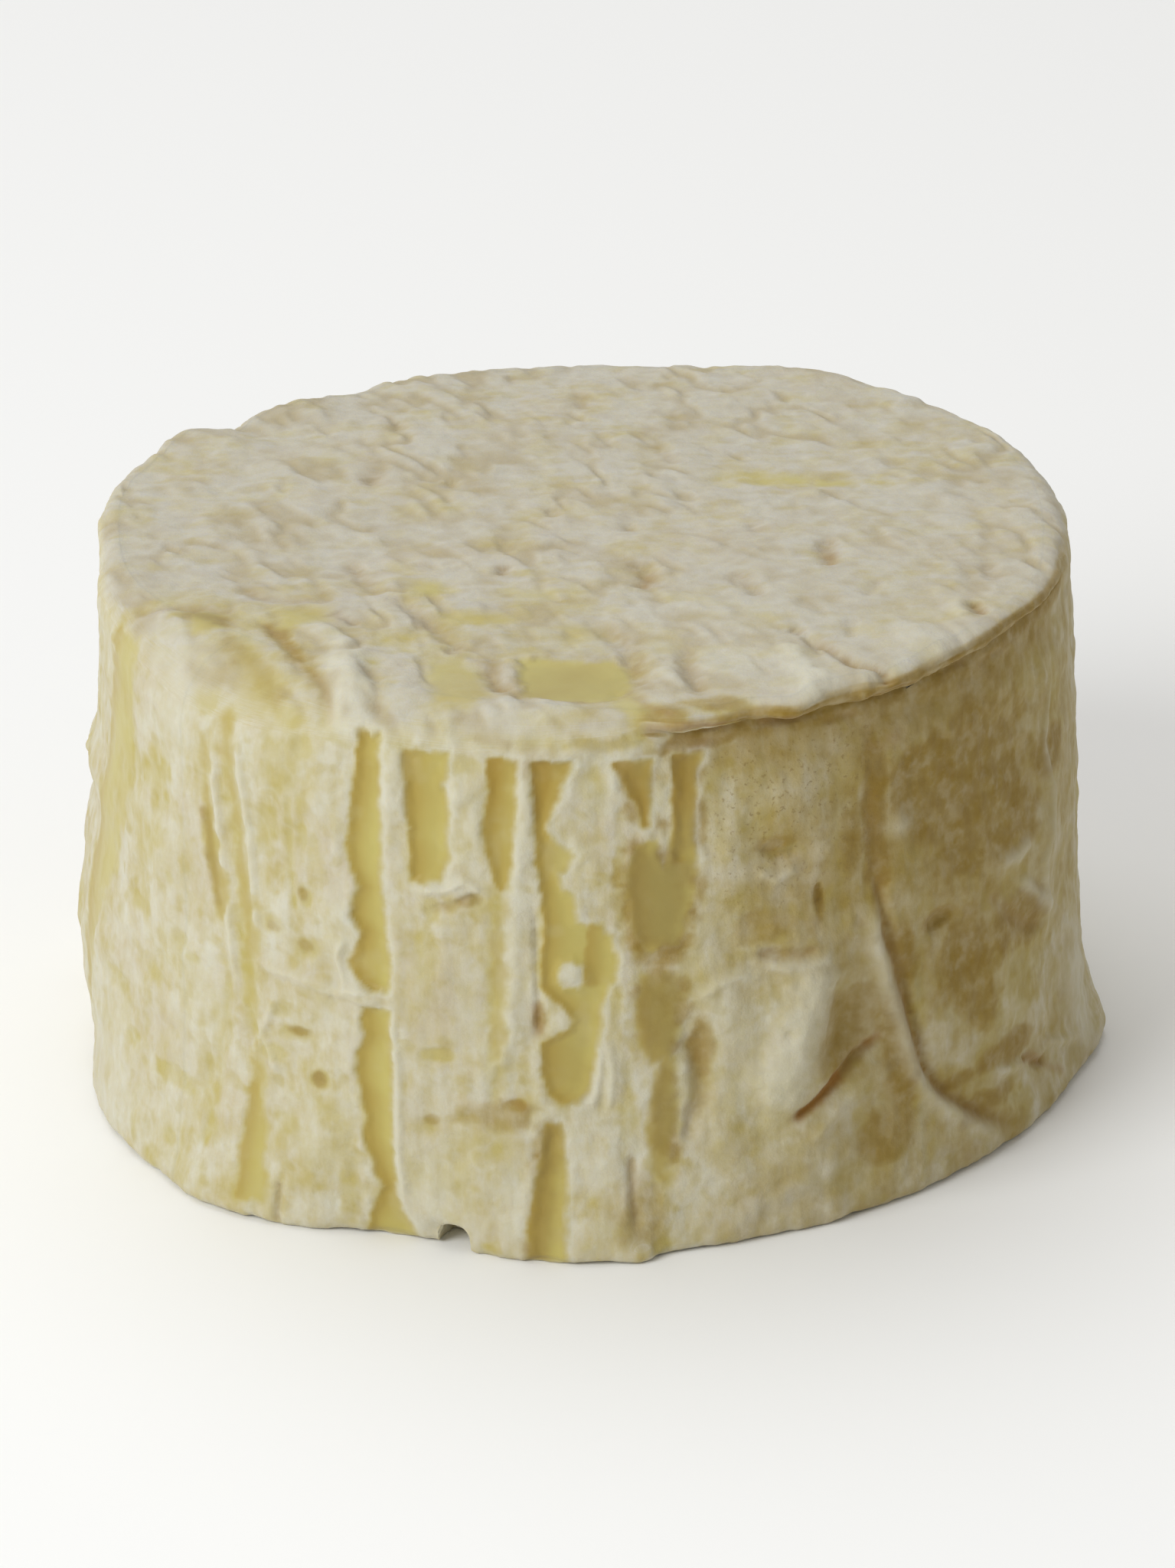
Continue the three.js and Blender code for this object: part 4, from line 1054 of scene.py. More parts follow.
# %% Places that are rubbed down to the paste: depth, share of bareness, outline in x and y
TOP_BARE = [
    (0.34, 0.95, [
        (-4.9, -31.4), (-1, -31.6), (3.4, -31.8), (4.5, -34), (4.9, -37.6), (3.4, -40.4),
        (-1.4, -40.6), (-4.6, -39.6), (-4.9, -35.4),
    ]),
    (0.22, 0.75, [
        (-12.6, -31.8), (-10, -31.4), (-7.9, -34), (-7.3, -39), (-9.4, -41), (-12, -40),
        (-13, -36),
    ]),
    (0.2, 0.7, [(3.6, -38.6), (5.2, -39.4), (6, -43.4), (5, -44.6), (3.4, -42)]),
    (0.25, 0.68, [(17.4, 11.4), (21.6, 11.6), (22, 10.2), (17.4, 9.8)]),
    (0.25, 0.85, [(23, 10.4), (26, 10.2), (26.2, 8.6), (23.2, 8.8)]),
    (0.12, 0.7, [(-11.4, -20.6), (-6, -21.2), (-5.4, -23), (-10.8, -22.8)]),
    (0.1, 0.6, [(-6, -15.6), (-2, -16.4), (-1.9, -17.8), (-5, -17.6)]),
    (0.12, 0.7, [(-14.6, -12.4), (-12, -12.8), (-11.8, -15), (-14, -15.6)]),
    (0.2, 0.6, [
        (-29.6, -24.6), (-28.2, -25), (-27, -30), (-25.4, -33.4), (-26.4, -35.4), (-28.6, -33),
        (-29.6, -29),
    ]),
    (0.15, 0.85, [(-34, -18.4), (-31.4, -18.4), (-31.2, -22.4), (-33.6, -22.6)]),
    (0.12, 0.65, [(-26, -18.2), (-22, -18), (-22, -21.6), (-25.4, -22.6)]),
    (0.2, 0.6, [(-26, -36.4), (-25, -37), (-24, -41), (-21.6, -44), (-23, -44.6), (-25.4, -41)]),
    (0.1, 0.5, [(-1, -23.8), (2.6, -24.4), (3.4, -27.6), (-0.6, -27.4)]),
    (0.1, 0.5, [(6.6, -29.4), (8.6, -29.6), (8.8, -31.4), (6.8, -31)]),
]

# %% Thin and stained places of the top: x, y, half-width, half-depth, share
TOP_THIN = [
    (-30, -21, 8, 4, 0.75), (-24, -20.4, 3, 3, 1), (-26, -32, 5.4, 7, 0.6),
    (-32.6, -20, 1.8, 2.6, 1), (-17.6, -32, 1.1, 2, 0.8), (-17, -38, 1.4, 4, 0.7),
    (-14, -25, 7, 4, 0.55), (-10, -29, 6, 4, 0.6), (-2, -28, 7, 3.4, 0.55),
    (1, -42, 5, 2.4, 0.5), (-12, -42, 3, 2.6, 0.6), (6.4, -43.6, 2.6, 2, 0.9),
    (-4, -19, 8, 3.6, 0.4), (-9, -22, 5, 2.2, 0.7), (-13, -14, 2, 2.2, 0.7),
    (20, 10.6, 8.6, 2.4, 0.75), (-38, 17, 3, 2, 0.5), (-41, 6, 3, 6, 0.3),
    (-22, -12, 8, 4, 0.25), (12, -42.4, 2.8, 1.4, 1), (6.6, -44, 2.4, 1.8, 0.9),
    (-37, -16.4, 5, 1.4, 0.5), (29.4, -42, 2.4, 1.8, 0.8), (-42, -20, 3, 2, 0.5),
    (5, -33, 1.6, 6, 0.6), (8, 26, 6, 2, 0.25), (-8, 36, 8, 2, 0.25), (30, -4, 5, 2, 0.2),
]
TOP_STAIN = [
    (6.8, -44, 2.2, 1.6, 0.5), (12, -42.2, 2.2, 1.1, 0.6), (27, -42.8, 3, 1.4, 0.7),
    (35.4, -34.8, 1.6, 2, 0.8), (-33, -19, 1.6, 1.6, 0.35), (0, -36, 6, 5, 0.4),
]

# %% Lumps of the top: x, y, half-width, half-depth, out, bloom
TOP_LUMPS = [
    (8, -36, 1.7, 5, 0.4, 0.4), (-36, -30, 5, 9, 0.2, 0.7), (14, -36, 4, 6, 0.2, 0.4),
    (24, -38, 3, 5, 0.2, 0.4), (32, -30, 4, 5, 0.25, 0.4), (12, -24, 7, 6, 0.15, 0.4),
    (-20, -36, 1.6, 7, 0.4, 0.8), (-32, -38, 4, 4, 0.2, 0.6), (-6, -43, 5, 2, 0.2, 0.6),
]

# %% Draw the top
TOP_SOFT = 1.4  # marks of the top are this much wider than their lists say, and shallower
BARE_WOBBLE = 0.35
BARE_FRAY = 0.2
BARE_SOFT = (0.45, 2.5)  # softness of a full patch, and how much more a faint one has
BARE_SLOPE = (-1.1, 0.8)  # millimetres inside the edge over which the top sinks
for width, out, brown, white, course in TOP_COURSES:
    draw_course("top", width * TOP_SOFT, out / TOP_SOFT, brown / TOP_SOFT, white, course)
for x, y, wide, high, out, white in TOP_LUMPS:
    draw_lump("top", (x, y), wide, high, out, white)
for depth, bareness, outline in TOP_BARE:
    i, u, v, flat = near("top", outline, 2.0)
    gap = depth_inside(flat, u, v) + BARE_WOBBLE * wobble[i] + BARE_FRAY * fray[i]
    cover = share_of["top"][i]
    soft = BARE_SOFT[0] + BARE_SOFT[1] * (1 - bareness)
    keep_most(look["bare"], i, smooth(-soft, soft, gap) * cover * bareness)
    push[i] -= depth * smooth(*BARE_SLOPE, gap) * cover
draw_patches("thin", "top", TOP_THIN)
draw_patches("stain", "top", TOP_STAIN)

# %% [markdown]
# Under the lip
# In the shade of the lip the wall was never in touch with the paper, and it has turned orange
# brown there in short dashes. Dark pin pricks dot the wall below it.

# %% Dashes under the lip: angles of both ends, height, colour of the crease
UNDER_LIP = [
    (9, 16, 47.6, 0.3), (21, 25.6, 48.4, 0.5), (28, 33, 47.4, 0.4), (33.5, 40, 49, 0.5),
    (46, 50, 48.4, 0.4), (13.6, 19, 48.8, 0.4), (10.4, 14.6, 48.9, 0.3), (52, 58, 47.4, 0.3),
]
DASH_WIDE = 0.5
DASH_DEEP = 0.15
DASH_BOW = 0.3  # its middle lies this much higher than its ends
for start, end, z, share in UNDER_LIP:
    course = [(start, z), ((start + end) / 2, z + DASH_BOW), (end, z)]
    draw_course("side", DASH_WIDE, -DASH_DEEP, share, 0, course)
print("dashes under the lip:", len(UNDER_LIP))

# %% The field of pin pricks: where it starts, is full, fades and ends
PRICK_ANGLES = (12, 17, 30, 44)
PRICK_HEIGHTS = (26, 38, 46, 48)
pricks = band(skin_angle, *PRICK_ANGLES) * band(skin_height, *PRICK_HEIGHTS)
look["dots"] += pricks * (1 - look["bare"]) * share_of["side"]
print("points among the pin pricks:", int((look["dots"] > 0.5).sum()))

# %% [markdown]
# Broad zones
# Some looks have no outline at all. The right of the wall is thinner and browner, and yellowest
# in one broad field. Below the lip and on the lip's own edge, shade is painted into the stain
# share. The left of the wall and the worn shoulder kept more bloom. Each zone is a product of
# soft bands over the angle and the height, and its strength is added to the look.

# %% The right of the wall: angles where it starts, is full, fades and ends
RIGHT_ANGLES = (4, 26, 76, 96)
RIGHT_THIN = 0.15
RIGHT_STAIN = (0.27, 0.34)  # at the foot, and higher up
RIGHT_RISE = (14, 30)  # heights between which the stain grows
right_zone = band(skin_angle, *RIGHT_ANGLES) * share_of["side"]
right_stain = mix(*RIGHT_STAIN, smooth(*RIGHT_RISE, skin_height))
look["thin"] += RIGHT_THIN * right_zone
look["stain"] += right_stain * right_zone

# %% Its yellow field: angle and half-width, height and half-height
FIELD = (50, 16, 33, 11)
FIELD_EDGE = (-1.3, 0.5)  # the drift makes its edges uneven
FIELD_THIN = 0.5
FIELD_STAIN = 0.2


def soft_oval(angle, half, height, half_height):
    across = bell(skin_angle - angle, half)
    return across * bell(skin_height - height, half_height) * share_of["side"]


yellow_field = soft_oval(*FIELD) * smooth(*FIELD_EDGE, drift)
look["thin"] += FIELD_THIN * yellow_field
look["stain"] += FIELD_STAIN * yellow_field

# %% The shade painted below the lip
SHADE_ANGLES = (8, 16, 62, 76)
SHADE_HEIGHTS = (43, 47.5)
PAINTED_LIP_SHADE = (0.14, 0.34)  # at its left, and farther right
SHADE_RISE = (26, 40)
lip_shade = band(skin_angle, *SHADE_ANGLES) * smooth(*SHADE_HEIGHTS, skin_height)
painted_shade_share = mix(*PAINTED_LIP_SHADE, smooth(*SHADE_RISE, skin_angle))
# The shade below the lip is painted into the stain share.
look["stain"] += painted_shade_share * lip_shade * share_of["side"]

# %% Shade painted on the lip's own edge, which turns down away from the light
EDGE_ANGLES = (12, 22)
EDGE_HEIGHTS = (47, 48.4)
EDGE_TURN = (0.98, 0.5)  # the painted shade ends where the lip has turned to face up
EDGE_PAINTED_SHADE = 0.75
lip_edge = lip_share(skin_angle) * smooth(*EDGE_ANGLES, skin_angle)
lip_edge *= smooth(*EDGE_HEIGHTS, skin_height)
# The lip's edge gets painted shade in the stain share.
look["stain"] += EDGE_PAINTED_SHADE * lip_edge * smooth(*EDGE_TURN, upness)

# %% The large fold is pale
PALE_FOLD = (19.5, 5.5, 18, 8)
FOLD_CLEARS = 0.75
look["stain"] *= 1 - FOLD_CLEARS * soft_oval(*PALE_FOLD)

# %% More bloom: the left of the wall, and the worn shoulder
LEFT_ANGLES = (-100, -84, -56, -42)
LEFT_BLOOM = 0.12
LEFT_EDGE = (-0.5, 0.6)
WORN_ANGLE = -34
WORN_HALF = 22
WORN_RADII = (38, 42)
WORN_HEIGHTS = (44, 47)
WORN_BLOOM = 0.15
left_zone = band(skin_angle, *LEFT_ANGLES) * share_of["side"]
look["bloom"] += LEFT_BLOOM * left_zone * smooth(*LEFT_EDGE, wobble)
worn_front = bell(skin_angle - WORN_ANGLE, WORN_HALF) * smooth(*WORN_RADII, skin_radius)
worn_front *= smooth(*WORN_HEIGHTS, skin_height)
look["bloom"] += WORN_BLOOM * worn_front
print("points with some stain:", int((look["stain"] > 0.1).sum()))

# %% Thin rind lies lower, and every share ends between 0 and 1
THIN_DIP = 0.16
push -= THIN_DIP * look["thin"] * (1 - look["bare"])
look = {name: np.clip(values, 0, 1) for name, values in look.items()}
print("largest push out and in, mm:", round(push.max(), 2), round(push.min(), 2))

# %% [markdown]
# One helper for every node
# The fine relief is a Geometry Nodes tree and the finish is a shader tree. Both are nodes with
# settings and links, so one small function adds a node for either. A link is given as the
# socket or the node that it comes from. Where a socket is given by its number, 1 and 2 of a
# Map Range are the ends of what it reads, and 3 and 4 the ends of what it gives. Of a Mix, 0 is
# the share, and the other two are what it mixes: 4 and 5 for places, 6 and 7 for colours.

# %% Add one node
def add(tree, kind, links=None, **settings):
    node = tree.nodes.new(kind)
    for key, value in settings.items():
        setattr(node, key, value)
    for key, value in (links or {}).items():
        if isinstance(value, bpy.types.Node):
            value = next(out for out in value.outputs if out.enabled)
        if isinstance(value, bpy.types.NodeSocket):
            tree.links.new(value, node.inputs[key])
        else:
            node.inputs[key].default_value = value
    return node


# %% [markdown]
# Meshes from whole arrays
# The skin has over half a million points. Blender takes them fastest as whole arrays, so one
# function fills a mesh from points, four-sided cells and triangles. Two more keep a value on
# every point and read it back.

# %% Fill a mesh, and keep or read a value on every point
def mesh_of(name, points, cells, triangles=()):
    """A mesh in metres from points in millimetres round the drum's axis."""
    mesh = bpy.data.meshes.new(name)
    mesh.vertices.add(len(points))
    placed = (points + (*AXIS, 0)) * MM
    mesh.vertices.foreach_set("co", placed.astype(np.float32).ravel())
    corners = np.concatenate([np.ravel(cells), np.ravel(triangles)]).astype(np.int32)
    starts = np.concatenate(
        [4 * np.arange(len(cells)), 4 * len(cells) + 3 * np.arange(len(triangles))]
    )
    mesh.loops.add(len(corners))
    mesh.loops.foreach_set("vertex_index", corners)
    mesh.polygons.add(len(starts))
    mesh.polygons.foreach_set("loop_start", starts.astype(np.int32))
    mesh.polygons.foreach_set("use_smooth", np.ones(len(starts), bool))
    mesh.update(calc_edges=True)
    return mesh


def keep_values(mesh, name, values):
    """Keeps one number on every point, or a direction where each value has three."""
    kind, key = ("FLOAT_VECTOR", "vector") if values.ndim == 2 else ("FLOAT", "value")
    layer = mesh.attributes.new(name, kind, "POINT")
    layer.data.foreach_set(key, values.astype(np.float32).ravel())


def read_values(mesh, name):
    values = np.zeros(len(mesh.vertices), np.float32)
    mesh.attributes[name].data.foreach_get("value", values)
    return values


# %% [markdown]
# The fine relief of the bloom
# Over everything else the rind is lumpy like felt, with upright streaks on the wall, and slanting
# wrinkles and small pits on the top. That repeats over the whole surface, so it is one Geometry
# Nodes tree. It reads each point's outward direction and its streak coordinates, adds up five
# kinds of noise, and moves the point. Its sizes are named inputs, in metres, and the seed is fixed.

# %% Streak coordinates: noise that is stretched along them draws streaks
STREAK_STRETCH = 5
WRINKLE_STRETCH = 2.4
WRINKLE_TURN = math.radians(-62)  # wrinkles of the top run this far off +X
TOP_SLICE = 90.0  # the top reads its noise this far from the wall's
spun = np.radians(skin_angle)
along_wall = np.stack(
    [np.cos(spun) * FOOT_RADIUS, np.sin(spun) * FOOT_RADIUS, skin_height / STREAK_STRETCH], -1
)
wrinkle_x = skin[:, 0] * math.cos(WRINKLE_TURN) + skin[:, 1] * math.sin(WRINKLE_TURN)
wrinkle_y = skin[:, 1] * math.cos(WRINKLE_TURN) - skin[:, 0] * math.sin(WRINKLE_TURN)
along_top = np.stack([wrinkle_x / WRINKLE_STRETCH, wrinkle_y, np.full(len(skin), TOP_SLICE)], -1)
print("streaks are", STREAK_STRETCH, "and wrinkles", WRINKLE_STRETCH, "times as long as wide")

# %% Where the top begins, and the calmer place at its front right, which lay flatter
TOP_BEGINS = (0.35, 0.8)
CALM_PLACE = (25, -24)
CALM_WIDE = 17
CALM_SHARE = 0.5
top_share = smooth(*TOP_BEGINS, upness)
off_calm = np.hypot(skin[:, 0] - CALM_PLACE[0], skin[:, 1] - CALM_PLACE[1])
rough_share = 1 - CALM_SHARE * bell(off_calm, CALM_WIDE) * top_share
print("the calmest point keeps", round(float(rough_share.min()), 2), "of the relief")

# %% The pushed skin as a mesh, with everything that its points keep
skin_mesh = mesh_of("skin", skin + skin_out * push[:, None], skin_cells)
carried = {
    "out": skin_out, "along_wall": along_wall * MM, "along_top": along_top * MM,
    "top_share": top_share, "rough_share": rough_share, **look,
}
for name, values in carried.items():
    keep_values(skin_mesh, name, values)
skin_object = bpy.data.objects.new("skin", skin_mesh)
bpy.context.scene.collection.objects.link(skin_object)
print("points:", len(skin_mesh.vertices), "values on each:", len(carried))

# %% The tree's sizes and inputs
RELIEF = {
    "Lump Width": 5.4 * MM, "Lump Height": 0.27 * MM,
    "Felt Width": 2.0 * MM, "Felt Height": 0.04 * MM,
    "Streak Width": 1.2 * MM, "Streak Height": 0.06 * MM,
    "Wrinkle Width": 4.4 * MM, "Wrinkle Height": 0.3 * MM,
    "Pit Width": 2.6 * MM, "Pit Depth": 0.34 * MM,
}
RELIEF_SEED = 3.0
placeholder = bpy.data.materials.new("skin_blank")
relief = bpy.data.node_groups.new("Bloom relief", "GeometryNodeTree")
relief.is_modifier = True
relief.interface.new_socket("Geometry", in_out="INPUT", socket_type="NodeSocketGeometry")
for name in [*RELIEF, "Seed"]:
    relief.interface.new_socket(name, in_out="INPUT", socket_type="NodeSocketFloat")
relief.interface.new_socket("Material", in_out="INPUT", socket_type="NodeSocketMaterial")
relief.interface.new_socket("Geometry", in_out="OUTPUT", socket_type="NodeSocketGeometry")
given = add(relief, "NodeGroupInput").outputs
print("inputs of the relief:", len(RELIEF) + 1)

# %% What it reads from the points
here = add(relief, "GeometryNodeInputPosition")
stored = {
    name: add(relief, "GeometryNodeInputNamedAttribute", {"Name": name}, data_type=kind)
    for name, kind in (
        ("out", "FLOAT_VECTOR"), ("along_wall", "FLOAT_VECTOR"), ("along_top", "FLOAT_VECTOR"),
        ("top_share", "FLOAT"), ("bare", "FLOAT"), ("rough_share", "FLOAT"),
    )
}

# %% Five kinds of noise: where each is read, and how many layers it has
SEED_STEP = 7.3  # between one kind and the next
KINDS = {
    "Lump": (here, 2.0), "Felt": (here, 3.0), "Streak": (stored["along_wall"], 2.0),
    "Wrinkle": (stored["along_top"], 1.5), "Pit": (stored["along_top"], 1.0),
}
noises = {}
for offset, (kind, (place, layers)) in enumerate(KINDS.items()):
    seed = add(relief, "ShaderNodeMath", {0: given["Seed"], 1: SEED_STEP * offset}, operation="ADD")
    scale = add(relief, "ShaderNodeMath", {0: 1.0, 1: given[kind + " Width"]}, operation="DIVIDE")
    noises[kind] = add(
        relief, "ShaderNodeTexNoise",
        {"Vector": place, "W": seed, "Scale": scale, "Detail": layers},
        noise_dimensions="4D",
    )
print("kinds of noise:", ", ".join(noises))

# %% Lumps, felt and streaks are waves round 0
wave = {
    kind: add(relief, "ShaderNodeMapRange", {0: noises[kind], 1: 0.3, 2: 0.7, 3: -1.0, 4: 1.0},
              clamp=False)
    for kind in ("Lump", "Felt", "Streak")
}
side_share = add(relief, "ShaderNodeMath", {0: 1.0, 1: stored["top_share"]}, operation="SUBTRACT")
streaks = add(relief, "ShaderNodeMath", {0: wave["Streak"], 1: side_share}, operation="MULTIPLY")

# %% A wrinkle is the sharp valley where its noise crosses the middle
ridge = add(relief, "ShaderNodeMath", {0: noises["Wrinkle"], 1: 0.5}, operation="SUBTRACT")
ridge = add(relief, "ShaderNodeMath", {0: ridge}, operation="ABSOLUTE")
valley = add(relief, "ShaderNodeMapRange", {0: ridge, 1: 0.0, 2: 0.1, 3: -1.0, 4: 0.0},
             interpolation_type="SMOOTHSTEP")
# Wrinkles come and go with the lumps, and only the top has them.
patchy = add(relief, "ShaderNodeMapRange", {0: noises["Lump"], 1: 0.42, 2: 0.6})
wrinkles = add(relief, "ShaderNodeMath", {0: valley, 1: stored["top_share"]}, operation="MULTIPLY")
wrinkles = add(relief, "ShaderNodeMath", {0: wrinkles, 1: patchy}, operation="MULTIPLY")

# %% A pit is the highest spot of its noise, and only the top has them too
pit = add(relief, "ShaderNodeMapRange", {0: noises["Pit"], 1: 0.63, 2: 0.78, 3: 0.0, 4: 1.0},
          interpolation_type="SMOOTHSTEP")
pits = add(relief, "ShaderNodeMath", {0: pit, 1: stored["top_share"]}, operation="MULTIPLY")
pit_down = add(relief, "ShaderNodeMath", {0: pits, 1: given["Pit Depth"]}, operation="MULTIPLY")

# %% Add up the heights, with little left on bare paste and less at the calm place
BARE_LOSS = 0.9
height = 0.0
for kind, term in (("Lump", wave["Lump"]), ("Felt", wave["Felt"]), ("Streak", streaks),
                   ("Wrinkle", wrinkles)):
    height = add(relief, "ShaderNodeMath", {0: term, 1: given[kind + " Height"], 2: height},
                 operation="MULTIPLY_ADD")
height = add(relief, "ShaderNodeMath", {0: height, 1: pit_down}, operation="SUBTRACT")
rind_share = add(relief, "ShaderNodeMath", {0: -BARE_LOSS, 1: stored["bare"], 2: 1.0},
                 operation="MULTIPLY_ADD")
rind_share = add(relief, "ShaderNodeMath", {0: rind_share, 1: stored["rough_share"]},
                 operation="MULTIPLY")
height = add(relief, "ShaderNodeMath", {0: height, 1: rind_share}, operation="MULTIPLY")

# %% Keep how hollow each point is, move it and hand it over
# How hollow each point is; the finish paints shade into these hollows.
hollow = add(relief, "ShaderNodeMath", {0: pits, 1: wrinkles}, operation="SUBTRACT")
hollow = add(relief, "ShaderNodeMath", {0: hollow, 1: rind_share}, operation="MULTIPLY",
             use_clamp=True)
marked = add(relief, "GeometryNodeStoreNamedAttribute",
             {"Geometry": given["Geometry"], "Name": "pit", "Value": hollow},
             data_type="FLOAT", domain="POINT")
move = add(relief, "ShaderNodeVectorMath", {0: stored["out"], "Scale": height}, operation="SCALE")
moved = add(relief, "GeometryNodeSetPosition", {"Geometry": marked, "Offset": move})
real = add(relief, "GeometryNodeRealizeInstances", {"Geometry": moved})
dressed = add(relief, "GeometryNodeSetMaterial", {"Geometry": real, "Material": given["Material"]})
add(relief, "NodeGroupOutput", {"Geometry": dressed})
print("the relief has", len(relief.nodes), "nodes")

# %% Run a tree and keep its result as a plain mesh
def run_tree(target, tree, values):
    """Sets the tree's inputs by their identifiers, and turns what it makes into a mesh."""
    modifier = target.modifiers.new(tree.name, "NODES")
    modifier.node_group = tree
    for item in tree.interface.items_tree:
        if item.item_type == "SOCKET" and item.in_out == "INPUT" and item.name in values:
            modifier[item.identifier] = values[item.name]
    made = bpy.data.meshes.new_from_object(
        target.evaluated_get(bpy.context.evaluated_depsgraph_get())
    )
    target.modifiers.remove(modifier)
    return made


# %% The finished skin
relieved = run_tree(skin_object, relief, RELIEF | {"Seed": RELIEF_SEED, "Material": placeholder})
coordinates = np.zeros(3 * len(skin), np.float32)
relieved.vertices.foreach_get("co", coordinates)
skin_done = coordinates.reshape(-1, 3).astype(float) / MM - (*AXIS, 0)
skin_done[:, 2] = np.maximum(skin_done[:, 2], 0)  # it rests flat on what carries it
look["pit"] = read_values(relieved, "pit")
look["top_share"] = read_values(relieved, "top_share")
normals_done = outward(skin_done, skin_cells)
bpy.data.objects.remove(skin_object)
bpy.data.meshes.remove(relieved)
moved_by = np.linalg.norm(skin_done - skin, axis=1)
print("points moved by up to", round(moved_by.max(), 2), "mm")

# %% [markdown]
# Colours
# A hex colour is read off a screen, and Blender mixes light in linear values, so one function
# turns the first into the second.

# %% From a screen's hex colour to linear light
def colour(code):
    parts = [int(code[i : i + 2], 16) / 255 for i in (1, 3, 5)]
    linear = [p / 12.92 if p <= 0.04045 else ((p + 0.055) / 1.055) ** 2.4 for p in parts]
    return (*linear, 1.0)


# %% [markdown]
# Bloomy rind over soft paste
# The rind is a felt of white mould on a thin beige skin. It is matt, scatters light a little and
# looks velvety at its edges. Where it is thin the yellow paste shines through in blotches, and
# stains and old creases turn orange brown. Bare paste is smooth and moist, with a soft gloss.
# The shares that were kept on the points say where each of these is, and where shade and a
# highlight are painted. Noise of a real width breaks up every edge between them.

# %% Colours of the rind and of the paste
WHITE_BLOOM = colour("#c9c5b1")
BEIGE_SIDE = colour("#baad86")
BEIGE_TOP = colour("#b2a992")
WHITE_TOP = colour("#bab5a7")
PINKISH = colour("#b6a88c")
THIN_YELLOW = colour("#b2a35a")
# The stain colours also lay the shade painted below the lip and on its edge.
STAIN_AND_SHADE_TAN = colour("#a38a42")
STAIN_AND_SHADE_BROWN = colour("#85691a")
GRAIN_PALE = colour("#b3a582")
FLECK_OCHRE = colour("#ab9a4c")
CREASE_BROWN = colour("#8e7036")
RUST_ORANGE = colour("#8c6122")
# Painted shade for the hollows of pits and wrinkles.
PIT_PAINTED_SHADE = colour("#a08f66")
DOT_BROWN = colour("#7c6434")
PASTE = colour("#b2a257")
PASTE_PALE = colour("#b9ad62")
PASTE_AMBER = colour("#a28634")
PASTE_SHADE = colour("#846c30")
print("the paste in linear light:", [round(value, 3) for value in PASTE[:3]])

# %% The material, and the shares that it reads from the points
rind = bpy.data.materials.new("bloomy_rind")
rind.use_nodes = True
tree = rind.node_tree
tree.nodes.clear()
share = {
    name: add(tree, "ShaderNodeAttribute", attribute_name=name, attribute_type="GEOMETRY")
    .outputs["Fac"]
    for name in look
}
print("shares:", ", ".join(share))

# %% Patterns: the width of their blotches in millimetres, their layers and where they are read
DRAWN_OUT = 0.3  # from top to bottom on the wall, and along the wrinkles on the top
PATTERN_ROUGH = 0.6
place = add(tree, "ShaderNodeTexCoord").outputs["Object"]
upright = add(tree, "ShaderNodeMapping", {"Vector": place, "Scale": (1, 1, DRAWN_OUT)})
slanting = add(tree, "ShaderNodeMapping", {
    "Vector": place, "Rotation": (0, 0, -WRINKLE_TURN), "Scale": (DRAWN_OUT, 1, 1),
})
streaky = add(tree, "ShaderNodeMix", {0: share["top_share"], 4: upright, 5: slanting},
              data_type="VECTOR")
PATTERNS = {
    "fuzz": (2.0, 3.0, place), "blotch": (4.4, 3.0, place), "cloud": (9.0, 2.0, place),
    "speck": (0.42, 2.0, place), "streak": (1.6, 3.0, streaky), "fleck": (1.9, 1.4, place),
    "vein": (3.4, 1.5, place), "grain": (1.8, 2.6, place),
}
pattern = {
    name: add(tree, "ShaderNodeTexNoise",
              {"Vector": where, "Scale": 1 / (width * MM), "Detail": layers,
               "Roughness": PATTERN_ROUGH},
              noise_dimensions="3D").outputs["Fac"]
    for name, (width, layers, where) in PATTERNS.items()
}
print("patterns:", ", ".join(pattern))

# %% [markdown]
# Coats of colour
# A painter lays one thin coat over the other, and so does this tree. A coat is a share, which
# says how much of the coats below it covers, and a colour. The coats are collected from the
# lowest to the highest first, and one loop lays them on at the end.

# %% White mould on beige skin, and pinkish clouds
both = add(tree, "ShaderNodeMath", {0: pattern["fuzz"], 1: pattern["streak"]}, operation="ADD")
white_share = add(tree, "ShaderNodeMapRange", {0: both, 1: 0.66, 2: 1.34})
beige = add(tree, "ShaderNodeMix", {0: share["top_share"], 6: BEIGE_SIDE, 7: BEIGE_TOP},
            data_type="RGBA")
white = add(tree, "ShaderNodeMix", {0: share["top_share"], 6: WHITE_BLOOM, 7: WHITE_TOP},
            data_type="RGBA")
pinkest = add(tree, "ShaderNodeMapRange", {0: share["top_share"], 3: 0.55, 4: 0.32})
pink = add(tree, "ShaderNodeMapRange", {0: pattern["cloud"], 1: 0.46, 2: 0.66, 4: pinkest})
coats = [(white_share, white), (pink, PINKISH)]

# %% Thin rind: the kept share, raised and lowered by the blotches
coarse = add(tree, "ShaderNodeMapRange", {0: pattern["blotch"], 1: 0.3, 2: 0.7, 3: -0.5, 4: 0.5},
             clamp=False)
finer = add(tree, "ShaderNodeMapRange", {0: pattern["streak"], 1: 0.3, 2: 0.7, 3: 0.24, 4: -0.24},
            clamp=False)
swing = add(tree, "ShaderNodeMath", {0: coarse, 1: finer}, operation="ADD")
everywhere = add(tree, "ShaderNodeMapRange", {0: share["top_share"], 3: 0.28, 4: 0.12})
yellow = add(tree, "ShaderNodeMath", {0: share["thin"], 1: everywhere}, operation="ADD")
yellow = add(tree, "ShaderNodeMath", {0: yellow, 1: swing}, operation="ADD")
yellow = add(tree, "ShaderNodeMapRange", {0: yellow, 1: 0.1, 2: 1.15, 4: 0.85})
coats.append((yellow, THIN_YELLOW))
